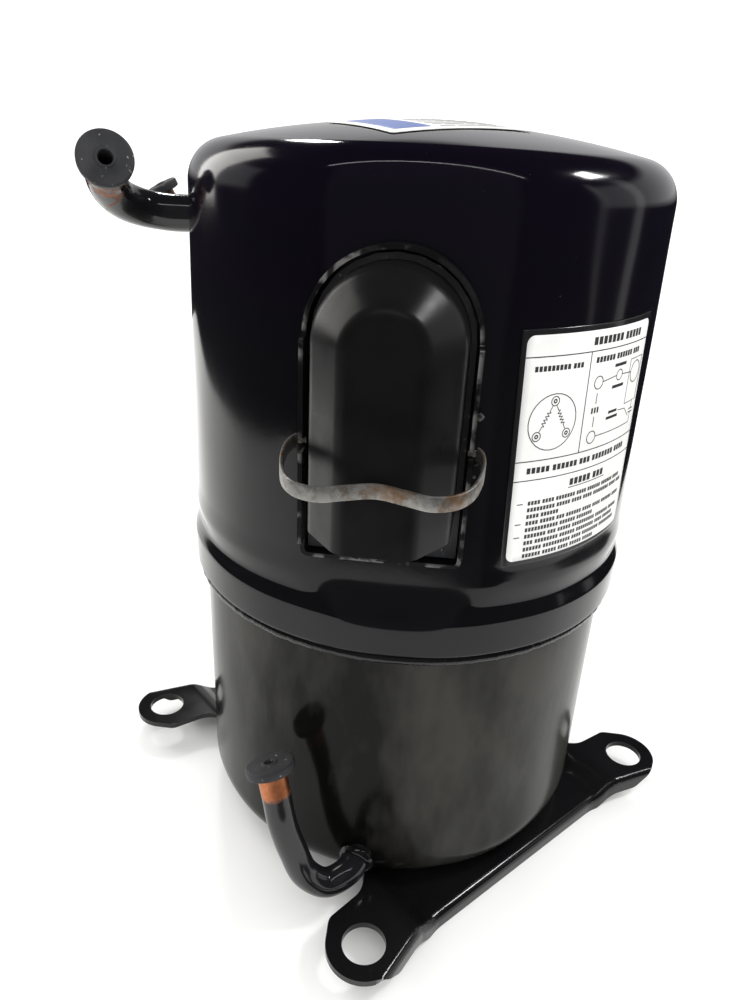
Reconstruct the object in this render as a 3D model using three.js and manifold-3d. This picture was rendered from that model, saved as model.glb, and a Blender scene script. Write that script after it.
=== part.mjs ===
// Hermetic refrigeration compressor with a welded two-piece housing, in millimetres, +Z up.
// The origin is the centre of the flat boss under the housing. The terminal box faces -Y.
import * as THREE from "three";
import { mergeVertices } from "three/addons/utils/BufferGeometryUtils.js";
import Module from "manifold-3d";

const wasm = await Module();
wasm.setup();

// ---------- driving dimensions ----------
const FIT_GAP = 0.3; // air left between touching pieces
const SHEET = 3; // housing and rail plate thickness
const FOOT_PITCH = 190.5; // square pattern of the four mounting holes
const FOOT_HOLE_D = 19;

const LOWER_R = 99.5; // outside of the lower housing
const KNUCKLE_R = 16;
const BOSS_R = 50;
const BOSS_RISE = 4; // the bottom around the boss sits this much higher
const LOWER_TOP_Z = 146;

const SEAM_Z = 136; // lower edge of the upper housing's skirt
const BAND_TOP_Z = 149;
const BAND_R = 104.5;
const WALL_START_Z = 160;
const WALL_START_R = 102.8;
const SHOULDER_R = 100.6;
const DOME_KNUCKLE_R = 17;
const DOME_R = 380; // the crown is part of a ball
const CROWN_Z = 330;
const FLAT_HALF_W = 33; // half width of the flat panel that carries the terminals

const TERM_X = -4.8; // middle of the terminal box
const FENCE_HALF_W = 30;
const FENCE_BOTTOM_Z = 178;
const FENCE_FRONT_Y = -110;
const FENCE_SHEET = 1.6;
const COVER_HALF_W = 25.8;
const COVER_BOTTOM_Z = 197.7;
const COVER_ARCH_Z = 260.1;
const COVER_FRONT_Y = -137.5;
const COVER_SHEET = 1.6;
const FENCE_ARCH_Z = 261;
const ARCH_LIP_Y = FENCE_FRONT_Y + 5; // the arch and the sill are lower than the fence's sides
const SILL_LIP_Y = FENCE_FRONT_Y + 6;
const SILL_TOP_Z = FENCE_BOTTOM_Z + 6;
const STRAP_Z = 223.7;
const STRAP_PIVOT_Y = -104.5;
const STRAP_W = 5.2;
const STRAP_T = 1.2;
const STRAP_TILT = THREE.MathUtils.degToRad(2);
const NOTCH_HALF_H = 2.2; // notches in the fence for the strap's hooked ends
const NOTCH_Y = STRAP_PIVOT_Y + 2;
const TERMINAL_Z = 245;
const TERMINAL_HOLE_R = 16.2;
const TERMINAL_CUP_R = 15.7;
const TERMINAL_RIM_R = 19;
const TERMINAL_FACE_Y = -99.5;
const PIN_CIRCLE_R = 8;
const TERMINAL_PIN_R = 1.6;
const SCREW_X = TERM_X + 17;
const SCREW_Z = FENCE_BOTTOM_Z + 28;

const SUCTION_D = 16;
const DISCHARGE_D = 12.7;
const PROCESS_D = 8;

const CRANK_R = 12; // throw of the crankpin: half the piston stroke
const CYLINDER_Z = 80;
const BORE_R = 20;
const PISTON_R = 19.6;
const PISTON_LENGTH = 26;
const CROWN_X = 53.5; // piston crown from the middle of the yoke
const CYLINDER_END_X = 66;
const CASE_R = 52;
const CASE_BOTTOM_Z = 52;
const CASE_ROOF_Z = 107;
const CASE_TOP_Z = 113;
const BARREL_R = 27; // outside of the cylinders
const HEAD_R = 28;
const MOTOR_FLANGE_R = 70;
const MOTOR_FLANGE_T = 4.4;
const HUB_R = 17;
const HUB_TOP_Z = 126;
const POST_XY = 44.5; // posts that carry the stator
const POST_R = 6;
const FOOT_R = 11;
const FOOT_BOTTOM_Z = 46.5;
const SHAFT_R = 11;
const RUNNING_GAP = 0.35;
const PIN_R = 9;
const PIN_BOTTOM_Z = 64;
const WEB_R = 19;
const WEB_Z = [100.5, 106.4];
const SPRING_XY = 46;
const STATOR_R = 74;
const STATOR_BORE_R = 38.6;
const STATOR_Z = [140, 235];
const ROTOR_R = 38;
const ROTOR_Z = [139, 236];
const END_RING_R = [22, 37];
const END_RING_T = 9;
const CAP_R = 68; // motor end cap
const CAP_TOP_Z = 266.3;
const CAP_SHEET = 1.5;
const YOKE_HALF = [18.3, 32.5]; // outside of the yoke frame from its middle, in X and Y
const YOKE_SLOT_HALF = [13, 27.5];
const BLOCK_HALF = [12.7, 15];

const ROUND = 48; // facets round the housing

const DOME_CENTRE_Z = CROWN_Z - DOME_R;
const KNUCKLE_CENTRE_R = SHOULDER_R - DOME_KNUCKLE_R;
const SHOULDER_Z = DOME_CENTRE_Z + Math.sqrt((DOME_R - DOME_KNUCKLE_R) ** 2 - KNUCKLE_CENTRE_R ** 2);
const KNUCKLE_TURN = THREE.MathUtils.radToDeg(Math.atan2(SHOULDER_Z - DOME_CENTRE_Z, KNUCKLE_CENTRE_R));

// ---------- materials ----------
const finish = (color, roughness, metalness) => ({ color, roughness, metalness });
const BLACK_PAINT = finish(0x0c0b10, 0.2, 0.1);
const BLACK_SHEET = finish(0x161617, 0.35, 0.2);
const ZINC = finish(0xb4b2aa, 0.42, 0.9);
const STEEL = finish(0x8d9094, 0.35, 0.95);
const IRON = finish(0x4a4b4d, 0.65, 0.6);
const COPPER = finish(0xb4683a, 0.35, 0.95);
const RUBBER = finish(0x2c2d31, 0.8, 0);
const PAPER = finish(0xe9e9e6, 0.6, 0);
const ALUMINIUM = finish(0xb9bcc0, 0.4, 0.9);
const VARNISH = finish(0x7c2f14, 0.45, 0.3);
const BRASS = finish(0xb8923f, 0.35, 0.9);
const SPRING_STEEL = finish(0x5f6266, 0.3, 0.95);
const PHENOLIC = finish(0x1b1b1d, 0.5, 0);

const compressor = new THREE.Group();

// ---------- solids ----------
function closed(geometry) {
  const bare = geometry.clone();
  for (const name of Object.keys(bare.attributes)) {
    if (name !== "position") bare.deleteAttribute(name);
  }
  const merged = mergeVertices(bare, 1e-4);
  const index = merged.index.array;
  const kept = [];
  for (let i = 0; i < index.length; i += 3) {
    const [a, b, c] = [index[i], index[i + 1], index[i + 2]];
    if (a !== b && b !== c && c !== a) kept.push(a, b, c);
  }
  merged.setIndex(signedVolume(merged.attributes.position, kept) < 0 ? kept.reverse() : kept);
  return merged;
}

function signedVolume(position, index) {
  const [a, b, c] = [new THREE.Vector3(), new THREE.Vector3(), new THREE.Vector3()];
  let sum = 0;
  for (let i = 0; i < index.length; i += 3) {
    a.fromBufferAttribute(position, index[i]);
    b.fromBufferAttribute(position, index[i + 1]);
    c.fromBufferAttribute(position, index[i + 2]);
    sum += a.dot(b.cross(c)) / 6;
  }
  return sum;
}

function toManifold(geometry) {
  const solid = closed(geometry);
  return new wasm.Manifold(
    new wasm.Mesh({
      numProp: 3,
      vertProperties: Float32Array.from(solid.attributes.position.array),
      triVerts: Uint32Array.from(solid.index.array),
    }),
  );
}

function toGeometry(manifold) {
  const mesh = manifold.getMesh();
  const geometry = new THREE.BufferGeometry();
  geometry.setAttribute("position", new THREE.BufferAttribute(mesh.vertProperties, 3));
  geometry.setIndex(new THREE.BufferAttribute(mesh.triVerts, 1));
  return geometry;
}

const fold = (operation) => (first, ...rest) =>
  toGeometry(rest.reduce((sum, next) => sum[operation](toManifold(next)), toManifold(first)));
const cut = fold("subtract");
const join = fold("add");
const common = fold("intersect");

function add(name, geometry, look, parent = compressor) {
  const mesh = new THREE.Mesh(closed(geometry), new THREE.MeshStandardMaterial(look));
  mesh.name = name;
  parent.add(mesh);
  return mesh;
}

// ---------- shapes ----------
const X = new THREE.Vector3(1, 0, 0);
const Y = new THREE.Vector3(0, 1, 0);
const Z = new THREE.Vector3(0, 0, 1);
const FRONT = new THREE.Vector3(0, -1, 0);
const turned = (geometry, x, y, z) =>
  geometry.applyMatrix4(new THREE.Matrix4().makeBasis(x, y, z));
const upright = (geometry) => geometry.rotateX(Math.PI / 2); // a solid round Y now stands on Z
const drawnInYZ = (geometry) => turned(geometry, Y, Z, X); // extruded towards +X
const drawnInXZ = (geometry) => turned(geometry, X, Z, FRONT); // extruded towards -Y

function lathe(profile, segments = ROUND, phase = 0) {
  const points = profile.map(([r, z]) => new THREE.Vector2(r, z));
  return upright(new THREE.LatheGeometry(points, segments, phase));
}

const ring = (inner, outer, z0, z1, segments = 32) =>
  lathe([[inner, z0], [outer, z0], [outer, z1], [inner, z1], [inner, z0]], segments);

const rod = (radius, z0, z1, segments = 24) =>
  lathe([[0, z0], [radius, z0], [radius, z1], [0, z1]], segments);

function box(x0, x1, y0, y1, z0, z1) {
  const geometry = new THREE.BoxGeometry(x1 - x0, y1 - y0, z1 - z0);
  return geometry.translate((x0 + x1) / 2, (y0 + y1) / 2, (z0 + z1) / 2);
}

function arc(centreR, centreZ, radius, fromDegrees, toDegrees, steps) {
  return Array.from({ length: steps + 1 }, (_, i) => {
    const angle = THREE.MathUtils.degToRad(fromDegrees + ((toDegrees - fromDegrees) * i) / steps);
    return [centreR + radius * Math.cos(angle), centreZ + radius * Math.sin(angle)];
  });
}

function plate(outline, depth, holes = []) {
  const shape = new THREE.Shape(outline.map(([a, b]) => new THREE.Vector2(a, b)));
  shape.holes = holes.map((hole) => new THREE.Path(hole.map(([a, b]) => new THREE.Vector2(a, b))));
  return new THREE.ExtrudeGeometry(shape, { depth, bevelEnabled: false });
}

// An inner radius of 0 makes a solid bar.
function sweep(extrudePath, outer, inner, sides, steps) {
  const circle = (radius) =>
    arc(0, 0, radius, 0, 360, sides).slice(1).map(([a, b]) => new THREE.Vector2(a, b));
  const shape = new THREE.Shape(circle(outer));
  if (inner > 0) shape.holes.push(new THREE.Path(circle(inner)));
  return new THREE.ExtrudeGeometry(shape, { steps, extrudePath, bevelEnabled: false });
}

function route(points) {
  const stops = points.map((point) => new THREE.Vector3(...point));
  return new THREE.CatmullRomCurve3(stops, false, "centripetal");
}

// Closed solid through equal rings of points, capped flat at both ends.
function loft(loops) {
  const count = loops[0].length;
  const positions = loops.flat(2);
  const faces = [];
  for (let level = 0; level + 1 < loops.length; level++) {
    for (let i = 0; i < count; i++) {
      const [a, b] = [level * count + i, level * count + ((i + 1) % count)];
      faces.push(a, b, b + count, a, b + count, a + count);
    }
  }
  const last = (loops.length - 1) * count;
  for (let i = 1; i + 1 < count; i++) {
    faces.push(0, i + 1, i, last, last + i, last + i + 1);
  }
  const geometry = new THREE.BufferGeometry();
  geometry.setAttribute("position", new THREE.Float32BufferAttribute(positions, 3));
  geometry.setIndex(faces);
  return geometry;
}

// Arch-topped outline in X and Z, centred on the terminal box.
function archOutline(halfW, bottomZ, archZ, steps = 12) {
  const top = arc(TERM_X, archZ, halfW, 0, 180, steps);
  return [[TERM_X - halfW, bottomZ], [TERM_X + halfW, bottomZ], ...top];
}

const archPlate = (halfW, bottomZ, archZ, backY, frontY, steps) =>
  drawnInXZ(plate(archOutline(halfW, bottomZ, archZ, steps), backY - frontY)).translate(0, backY, 0);

// ---------- housing ----------
const wallRadius = (z) =>
  THREE.MathUtils.mapLinear(z, WALL_START_Z, SHOULDER_Z, WALL_START_R, SHOULDER_R);
const flatY = (z) => -Math.sqrt(wallRadius(z) ** 2 - FLAT_HALF_W ** 2);
const crownZ = (r) => DOME_CENTRE_Z + Math.sqrt(DOME_R ** 2 - r ** 2);

// Everything in front of the flat panel, moved forward by `shift`, down to its scooped foot.
function spaceBeforeFlat(shift, footZ = WALL_START_Z + 2) {
  const scoop = new THREE.QuadraticBezierCurve(
    new THREE.Vector2(flatY(footZ) - shift, footZ),
    new THREE.Vector2(flatY(footZ) - shift, footZ - 9),
    new THREE.Vector2(-BAND_R - 1 - shift, BAND_TOP_Z + 1),
  );
  const foot = scoop.getPoints(4).map((p) => [p.x, p.y]);
  const topZ = CROWN_Z + 5;
  const outline = [[-150, topZ], [flatY(topZ) - shift, topZ], ...foot, [-150, BAND_TOP_Z + 1]];
  return drawnInYZ(plate(outline, 240)).translate(-120, 0, 0);
}

function upperHousingSolid(inset) {
  const outerSkirt = [
    [BAND_R - 0.8, SEAM_Z], [BAND_R, SEAM_Z + 1], [BAND_R, BAND_TOP_Z - 3], [BAND_R - 0.5, BAND_TOP_Z + 2],
  ];
  const innerSkirt = [[LOWER_R + FIT_GAP, SEAM_Z - 1], [LOWER_R + FIT_GAP, BAND_TOP_Z]];
  const skirt = inset > 0 ? innerSkirt : outerSkirt;
  const wall = [[WALL_START_R - inset, WALL_START_Z], [SHOULDER_R - inset, SHOULDER_Z]];
  const knuckleR = DOME_KNUCKLE_R - inset;
  const knuckle = arc(KNUCKLE_CENTRE_R, SHOULDER_Z, knuckleR, 0, KNUCKLE_TURN, 4).slice(1);
  const crown = [60, 30, 0].map((r) => [r, crownZ(r) - inset]);
  return lathe([[0, skirt[0][1]], ...skirt, ...wall, ...knuckle, ...crown]);
}

function lowerHousingProfile(grow) {
  const centreR = LOWER_R - KNUCKLE_R;
  return [
    [0, -grow],
    [BOSS_R + grow, -grow],
    [BOSS_R + 6 + grow, BOSS_RISE - grow],
    ...arc(centreR, BOSS_RISE + KNUCKLE_R, KNUCKLE_R + grow, -90, 0, 4),
  ];
}

function lowerHousing() {
  const cup = (inset, rimZ) =>
    lathe([...lowerHousingProfile(-inset), [LOWER_R - inset, rimZ], [0, rimZ]]);
  return cut(cup(0, LOWER_TOP_Z), cup(SHEET, LOWER_TOP_Z + 1));
}

const suctionRoute = route([
  [-91, 3, 288.5], [-104, 2.5, 288.5], [-116, 0.5, 288.7], [-126, -5, 290.5],
  [-131.5, -14.5, 294.5], [-131.8, -24, 300], [-128.8, -33.5, 305.8], [-124.7, -41.4, 309],
]);
const dischargeRoute = route([
  [-7, -91, 21.4], [-7.4, -100, 21.4], [-11, -107, 19], [-20, -112, 16.3], [-29, -114.5, 23.5],
  [-34.7, -115, 37.4], [-39.3, -114, 50.5], [-42.6, -111, 63.1], [-45.6, -108, 74],
]);
const processRoute = route([
  [-91, 24, 284], [-104, 24, 284], [-114, 23, 285.5], [-121, 21.5, 290], [-124, 20, 296],
]);

const wallHole = (curve, diameter, sides) => sweep(curve, diameter / 2 + 0.5, 0, sides, 20);

const rodAlongX = (radius, y, z, x0, x1, segments = 24) =>
  turned(rod(radius, x0, x1, segments), Y, Z, X).translate(0, y, z);
const rodAlongY = (radius, x, z, y0, y1, segments = 24) =>
  turned(rod(radius, y0, y1, segments), Z, X, Y).translate(x, 0, z);

add("lower_shell", cut(lowerHousing(), wallHole(dischargeRoute, DISCHARGE_D, 12)), BLACK_PAINT);
add(
  "upper_shell",
  cut(
    cut(upperHousingSolid(0), spaceBeforeFlat(0)),
    cut(upperHousingSolid(SHEET), spaceBeforeFlat(-SHEET)),
    wallHole(suctionRoute, SUCTION_D, 12),
    wallHole(processRoute, PROCESS_D, 8),
    rodAlongY(TERMINAL_HOLE_R, TERM_X, TERMINAL_Z, -110, -80),
  ),
  BLACK_PAINT,
);

const beadR = LOWER_R + FIT_GAP;
const beadTop = SEAM_Z - FIT_GAP;
const beadSection = [
  [beadR, beadTop - 3.5], [beadR + 1.6, beadTop - 3], [beadR + 3, beadTop - 1.6],
  [beadR + 3.4, beadTop], [beadR, beadTop], [beadR, beadTop - 3.5],
];
add("seam_weld_bead", lathe(beadSection), BLACK_PAINT);

// ---------- mounting rails ----------
const RAIL_TOP_Z = BOSS_RISE - FIT_GAP;
const EAR_TOP_Z = RAIL_TOP_Z + 7;
const RAIL_BOTTOM_Z = RAIL_TOP_Z - 8;
const EAR_FLANGE_BOTTOM_Z = EAR_TOP_Z - 9;
const EAR_R = 16.5;
const HALF_PITCH = FOOT_PITCH / 2;
const RAIL_FACE_V = -102.3; // outer face of the rail under the housing
const RAIL_INNER_V = -58;
const JOGGLE_U = [HALF_PITCH - 35, HALF_PITCH - 21]; // where the plate climbs to the ear

// The right half of an outline, from one end on the middle line to the other, made whole.
const symmetric = (points) => [
  ...points,
  ...points.slice(1, -1).reverse().map(([u, v]) => [-u, v]),
];

// Drawn along X with its outer side towards -Y; the housing sits in its cut-out.
function rail() {
  const eye = HALF_PITCH;
  const outerEdge = [
    [0, RAIL_FACE_V], [eye - 38, RAIL_FACE_V], [eye - 26, RAIL_FACE_V - 2.5], [eye + 0.5, -eye - EAR_R - 1],
  ];
  const earTip = arc(eye, -eye, EAR_R, -72, 45, 8);
  const innerEdge = [
    [eye + 6, -eye + 18.5], [eye - 13, -eye + 20.5], [eye - 21, -eye + 21],
    [eye - 32, RAIL_INNER_V], [0, RAIL_INNER_V],
  ];
  const plan = plate(symmetric([...outerEdge, ...earTip, ...innerEdge]), 40).translate(0, 0, -20);

  const joggle = [[0, RAIL_TOP_Z], [JOGGLE_U[0], RAIL_TOP_Z], [JOGGLE_U[1], EAR_TOP_Z]];
  const top = [...joggle, [eye + 30, EAR_TOP_Z]];
  const underside = top.map(([u, z]) => [u, z - SHEET]).reverse();
  const sheet = drawnInXZ(plate(symmetric([...top, ...underside]), 90)).translate(0, -40, 0);

  const flangeSide = [
    ...joggle, [eye + 0.5, EAR_TOP_Z], [eye + 0.5, EAR_TOP_Z - 2], [eye - 8, EAR_FLANGE_BOTTOM_Z],
    [eye - 24, EAR_FLANGE_BOTTOM_Z], [eye - 39, RAIL_BOTTOM_Z], [0, RAIL_BOTTOM_Z],
  ];
  const flange = drawnInXZ(plate(symmetric(flangeSide), 90)).translate(0, -40, 0);
  const innerFace = outerEdge.map(([u, v]) => [u, v + SHEET]).reverse();
  const flangePlan = plate(symmetric([...outerEdge, ...innerFace]), 40).translate(0, 0, -20);

  const seat = lathe([...lowerHousingProfile(FIT_GAP), [LOWER_R + FIT_GAP, 40], [0, 40]]);
  const hole = (u) => rod(FOOT_HOLE_D / 2, -20, 30, 32).translate(u, -eye, 0);
  const pressed = join(common(sheet, plan), common(flange, flangePlan));
  return cut(pressed, seat, hole(eye), hole(-eye));
}

const frontRail = add("front_mounting_rail", rail(), BLACK_PAINT);
frontRail.rotation.z = Math.PI / 4;
const rearRail = add("rear_mounting_rail", rail(), BLACK_PAINT);
rearRail.rotation.z = Math.PI / 4 + Math.PI;

// ---------- terminal box ----------
// Everything across the terminal box in front of the depth `backY`, between two heights.
const slabBefore = (backY, z0, z1) => box(TERM_X - 40, TERM_X + 40, backY - 40, backY, z0, z1);

function terminalFence() {
  const outside = archPlate(FENCE_HALF_W, FENCE_BOTTOM_Z, FENCE_ARCH_Z, -85, FENCE_FRONT_Y);
  const insideHalfW = FENCE_HALF_W - FENCE_SHEET;
  const inside = archPlate(insideHalfW, FENCE_BOTTOM_Z + FENCE_SHEET, FENCE_ARCH_Z, -80, -120);
  const lowArch = slabBefore(ARCH_LIP_Y, FENCE_ARCH_Z, FENCE_ARCH_Z + 40);
  const lowSill = slabBefore(SILL_LIP_Y, FENCE_BOTTOM_Z - 5, SILL_TOP_Z);
  const notches = slabBefore(NOTCH_Y, STRAP_Z - NOTCH_HALF_H, STRAP_Z + NOTCH_HALF_H);
  return common(cut(outside, inside, lowArch, lowSill, notches), spaceBeforeFlat(FIT_GAP));
}
add("terminal_fence", terminalFence(), BLACK_SHEET);

function terminalGasket() {
  const clearance = 0.6;
  const halfW = FENCE_HALF_W - FENCE_SHEET - clearance;
  const bottomZ = FENCE_BOTTOM_Z + FENCE_SHEET + clearance;
  const blank = archPlate(halfW, bottomZ, FENCE_ARCH_Z - clearance, -85, TERMINAL_FACE_Y - 0.1);
  const opening = rodAlongY(TERMINAL_HOLE_R + clearance, TERM_X, TERMINAL_Z, -110, -80);
  return cut(common(blank, spaceBeforeFlat(FIT_GAP)), opening);
}
add("terminal_gasket", terminalGasket(), RUBBER);

function terminalCover() {
  const levels = [[-99.9, COVER_HALF_W, 0], [-124, 23.6, 0.8], [COVER_FRONT_Y, 12, 3.2]];
  const shell = (inset) =>
    loft(levels.map(([y, halfW, lift], i) => {
      const depth = i === 0 ? y + inset : y + 0.7 * inset;
      const outline = archOutline(halfW - inset, COVER_BOTTOM_Z + inset, COVER_ARCH_Z + lift, 14);
      return outline.map(([x, z]) => [x, depth, z]);
    }));
  return cut(shell(0), shell(COVER_SHEET));
}
add("terminal_cover", terminalCover(), BLACK_SHEET);

function bailStrap() {
  const halfLoop = [
    [31.5, -103.5], [33, -108], [33.4, -115], [32, -127], [28.8, -137.5], [24, -143.5], [17, -145.8],
    [9, -143], [0, -140.2],
  ];
  const loop = [...halfLoop, ...halfLoop.slice(0, -1).reverse().map(([x, y]) => [-x, y])];
  const middle = new THREE.CatmullRomCurve3(loop.map(([x, y]) => new THREE.Vector3(TERM_X + x, y, 0)));
  const stations = middle.getSpacedPoints(36);
  const side = (offset) =>
    stations.map((point, i) => {
      const along = middle.getTangentAt(i / 36);
      return [point.x - along.y * offset, point.y + along.x * offset];
    });
  const outline = [...side(STRAP_T / 2), ...side(-STRAP_T / 2).reverse()];
  const band = plate(outline, STRAP_W).translate(0, 0, -STRAP_W / 2);
  const tab = (sign) => {
    const [x0, x1] = [TERM_X + sign * 28.9, TERM_X + sign * 31.9];
    return rodAlongX(1.1, STRAP_PIVOT_Y + 0.2, 0, Math.min(x0, x1), Math.max(x0, x1), 12);
  };
  return join(band, tab(1), tab(-1)).translate(0, -STRAP_PIVOT_Y, 0);
}
const strap = add("cover_bail_strap", bailStrap(), ZINC);
strap.position.set(0, STRAP_PIVOT_Y, STRAP_Z);
strap.rotation.x = STRAP_TILT;

const pinPlaces = [["common", 90], ["start", 210], ["run", 330]].map(([name, degrees]) => {
  const angle = THREE.MathUtils.degToRad(degrees);
  const x = TERM_X + PIN_CIRCLE_R * Math.cos(angle);
  const z = TERMINAL_Z + PIN_CIRCLE_R * Math.sin(angle);
  return { name, x, z };
});
const terminalCup = join(
  rodAlongY(TERMINAL_CUP_R, TERM_X, TERMINAL_Z, TERMINAL_FACE_Y, -92),
  rodAlongY(TERMINAL_RIM_R, TERM_X, TERMINAL_Z, -92.2, -90),
);
const pinHoles = pinPlaces.map(({ x, z }) => rodAlongY(TERMINAL_PIN_R + 0.4, x, z, -110, -80, 12));
add("terminal_body", cut(terminalCup, ...pinHoles), STEEL);
for (const { name, x, z } of pinPlaces) {
  add(`terminal_pin_${name}`, rodAlongY(TERMINAL_PIN_R, x, z, -113, -84, 10), BRASS);
}
const screwHead = rodAlongY(4.2, SCREW_X, SCREW_Z, -105, -101.6, 6);
const screwFlange = rodAlongY(5.4, SCREW_X, SCREW_Z, -101.7, -100, 16);
add("ground_screw", join(screwHead, screwFlange), BRASS);

// ---------- tubes, plugs and braze collars ----------
add("suction_tube", sweep(suctionRoute, SUCTION_D / 2, SUCTION_D / 2 - 1.2, 12, 17), BLACK_PAINT);
add("discharge_tube", sweep(dischargeRoute, DISCHARGE_D / 2, DISCHARGE_D / 2 - 1.1, 10, 24), BLACK_PAINT);
add("process_tube", sweep(processRoute, PROCESS_D / 2, PROCESS_D / 2 - 0.9, 8, 12), BLACK_PAINT);

// A rubber plug drawn along Z: its stem goes down into the tube, its flange covers the tube's end.
function plug(stemR, flangeR, flangeT, stemLength) {
  const vent = flangeR > 9 ? 2.4 : 1.2;
  const profile = [
    [vent, -stemLength], [stemR, -stemLength], [stemR, FIT_GAP],
    [flangeR - 1, FIT_GAP], [flangeR, FIT_GAP + 1], [flangeR, flangeT - 1], [flangeR - 1, flangeT],
    [vent, flangeT], [vent, -stemLength],
  ];
  return lathe(profile, 20);
}

// A weld ring drawn along Z round a tube of radius `tubeR`, its foot towards -Z.
function collar(tubeR, width) {
  const bore = tubeR + 2 * FIT_GAP;
  return lathe([[bore, 0], [tubeR + width, 0], [tubeR + width / 2, 1.6], [bore, 2.4], [bore, 0]], 20);
}

function alongRoute(mesh, curve, distance = curve.getLength()) {
  const t = distance / curve.getLength();
  mesh.position.copy(curve.getPointAt(t));
  mesh.quaternion.setFromUnitVectors(Z, curve.getTangentAt(t));
}

alongRoute(add("suction_plug", plug(6.4, 11, 4.2, 9), RUBBER), suctionRoute);
alongRoute(add("discharge_plug", plug(4.9, 10.8, 4.2, 8), RUBBER), dischargeRoute);
alongRoute(add("process_plug", plug(2.4, 7.5, 4, 4.5), RUBBER), processRoute);
alongRoute(add("suction_collar", collar(SUCTION_D / 2, 3.4), BLACK_PAINT), suctionRoute, 11.4);
alongRoute(add("discharge_collar", collar(DISCHARGE_D / 2, 2.6), BLACK_PAINT), dischargeRoute, 10.2);

// ---------- labels ----------
const LABEL_T = 0.4;
const WIRING_LABEL_Z = [176, 266];
const WIRING_LABEL_DEGREES = [-67.5, -27];
function wiringLabel() {
  const [z0, z1] = WIRING_LABEL_Z;
  const [near, far] = [FIT_GAP + 0.05, FIT_GAP + 0.05 + LABEL_T];
  const section = [
    [wallRadius(z0) + near, z0], [wallRadius(z0) + far, z0], [wallRadius(z1) + far, z1],
    [wallRadius(z1) + near, z1], [wallRadius(z0) + near, z0],
  ];
  const sector = arc(0, 0, 160, ...WIRING_LABEL_DEGREES, 4);
  return common(lathe(section), plate([[0, 0], ...sector], 120).translate(0, 0, z0 - 10));
}
add("wiring_label", wiringLabel(), PAPER);

const TOP_LABEL = { length: 62, width: 44, turn: 38.5, corner: [-10.8, -75.2] };
function topLabel() {
  const baseZ = CROWN_Z - 30;
  const rings = [80, 60, 40, 20, 0];
  const skin = (lift) => lathe([[0, baseZ], [80, baseZ], ...rings.map((r) => [r, crownZ(r) + lift])]);
  const sheet = cut(skin(FIT_GAP + LABEL_T), skin(FIT_GAP));
  const outline = box(0, TOP_LABEL.length, 0, TOP_LABEL.width, CROWN_Z - 20, CROWN_Z + 10);
  outline.rotateZ(THREE.MathUtils.degToRad(TOP_LABEL.turn)).translate(...TOP_LABEL.corner, 0);
  return common(sheet, outline);
}
add("top_label", topLabel(), PAPER);

// ---------- suspension ----------
const corners = [[-1, -1], [1, -1], [1, 1], [-1, 1]];
const cornerNames = ["front_left", "front_right", "rear_right", "rear_left"];
const FLOOR_Z = BOSS_RISE + SHEET;
const SPRING_R = 7.6;
const SPRING_WIRE_R = 1.2;
const SPRING_Z = [10.9, 44.9];
const SPRING_TURNS = 5;
const SEAT_R = 10.5;
const SEAT_STEM_R = 4;

class Helix extends THREE.Curve {
  getPoint(t, target = new THREE.Vector3()) {
    const angle = 2 * Math.PI * SPRING_TURNS * t;
    const height = THREE.MathUtils.lerp(...SPRING_Z, t);
    return target.set(SPRING_R * Math.cos(angle), SPRING_R * Math.sin(angle), height);
  }
}

corners.forEach(([sx, sy], i) => {
  const station = new THREE.Group();
  station.position.set(sx * SPRING_XY, sy * SPRING_XY, 0);
  compressor.add(station);
  const bottom = FLOOR_Z + FIT_GAP;
  const seat = [
    [0, bottom], [SEAT_R, bottom], [SEAT_R, bottom + 2], [SEAT_STEM_R + 0.5, bottom + 2],
    [SEAT_STEM_R, bottom + 8], [0, bottom + 8],
  ];
  add(`spring_seat_${cornerNames[i]}`, lathe(seat, 16), STEEL, station);
  const coil = sweep(new Helix(), SPRING_WIRE_R, 0, 5, 42);
  add(`suspension_spring_${cornerNames[i]}`, coil, SPRING_STEEL, station);
});

// ---------- pump ----------
function crankcase() {
  const housing = rod(CASE_R, CASE_BOTTOM_Z, CASE_TOP_Z, 32);
  const motorFlange = rod(MOTOR_FLANGE_R, CASE_TOP_Z - MOTOR_FLANGE_T, CASE_TOP_Z, 32);
  const barrel = rodAlongX(BARREL_R, 0, CYLINDER_Z, -CYLINDER_END_X, CYLINDER_END_X, 28);
  const hub = rod(HUB_R, CASE_TOP_Z - 1, HUB_TOP_Z, 24);
  const posts = corners.map(([sx, sy]) =>
    rod(POST_R, CASE_TOP_Z - 1, STATOR_Z[0] - FIT_GAP, 12).translate(sx * POST_XY, sy * POST_XY, 0));
  const feet = corners.flatMap(([sx, sy]) => {
    const padTopZ = CASE_BOTTOM_Z + 4;
    const pad = rod(FOOT_R, FOOT_BOTTOM_Z, padTopZ, 16).translate(sx * SPRING_XY, sy * SPRING_XY, 0);
    const arm = box(-9, 9, 30, 65, CASE_BOTTOM_Z, CASE_BOTTOM_Z + 8).rotateZ(Math.atan2(-sx, sy));
    return [pad, arm];
  });
  const chamber = box(-32, 32, -35, 35, CASE_BOTTOM_Z - 1, CASE_ROOF_Z);
  const bores = rodAlongX(BORE_R, 0, CYLINDER_Z, -80, 80, 28);
  const shaftBore = rod(SHAFT_R + RUNNING_GAP, CASE_ROOF_Z - 1, HUB_TOP_Z + 4, 24);
  return cut(join(housing, motorFlange, barrel, hub, ...posts, ...feet), chamber, bores, shaftBore);
}
add("crankcase", crankcase(), IRON);
add("sump_cover_plate", ring(12, CASE_R - 2, FOOT_BOTTOM_Z, CASE_BOTTOM_Z - FIT_GAP, 24), STEEL);

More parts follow.
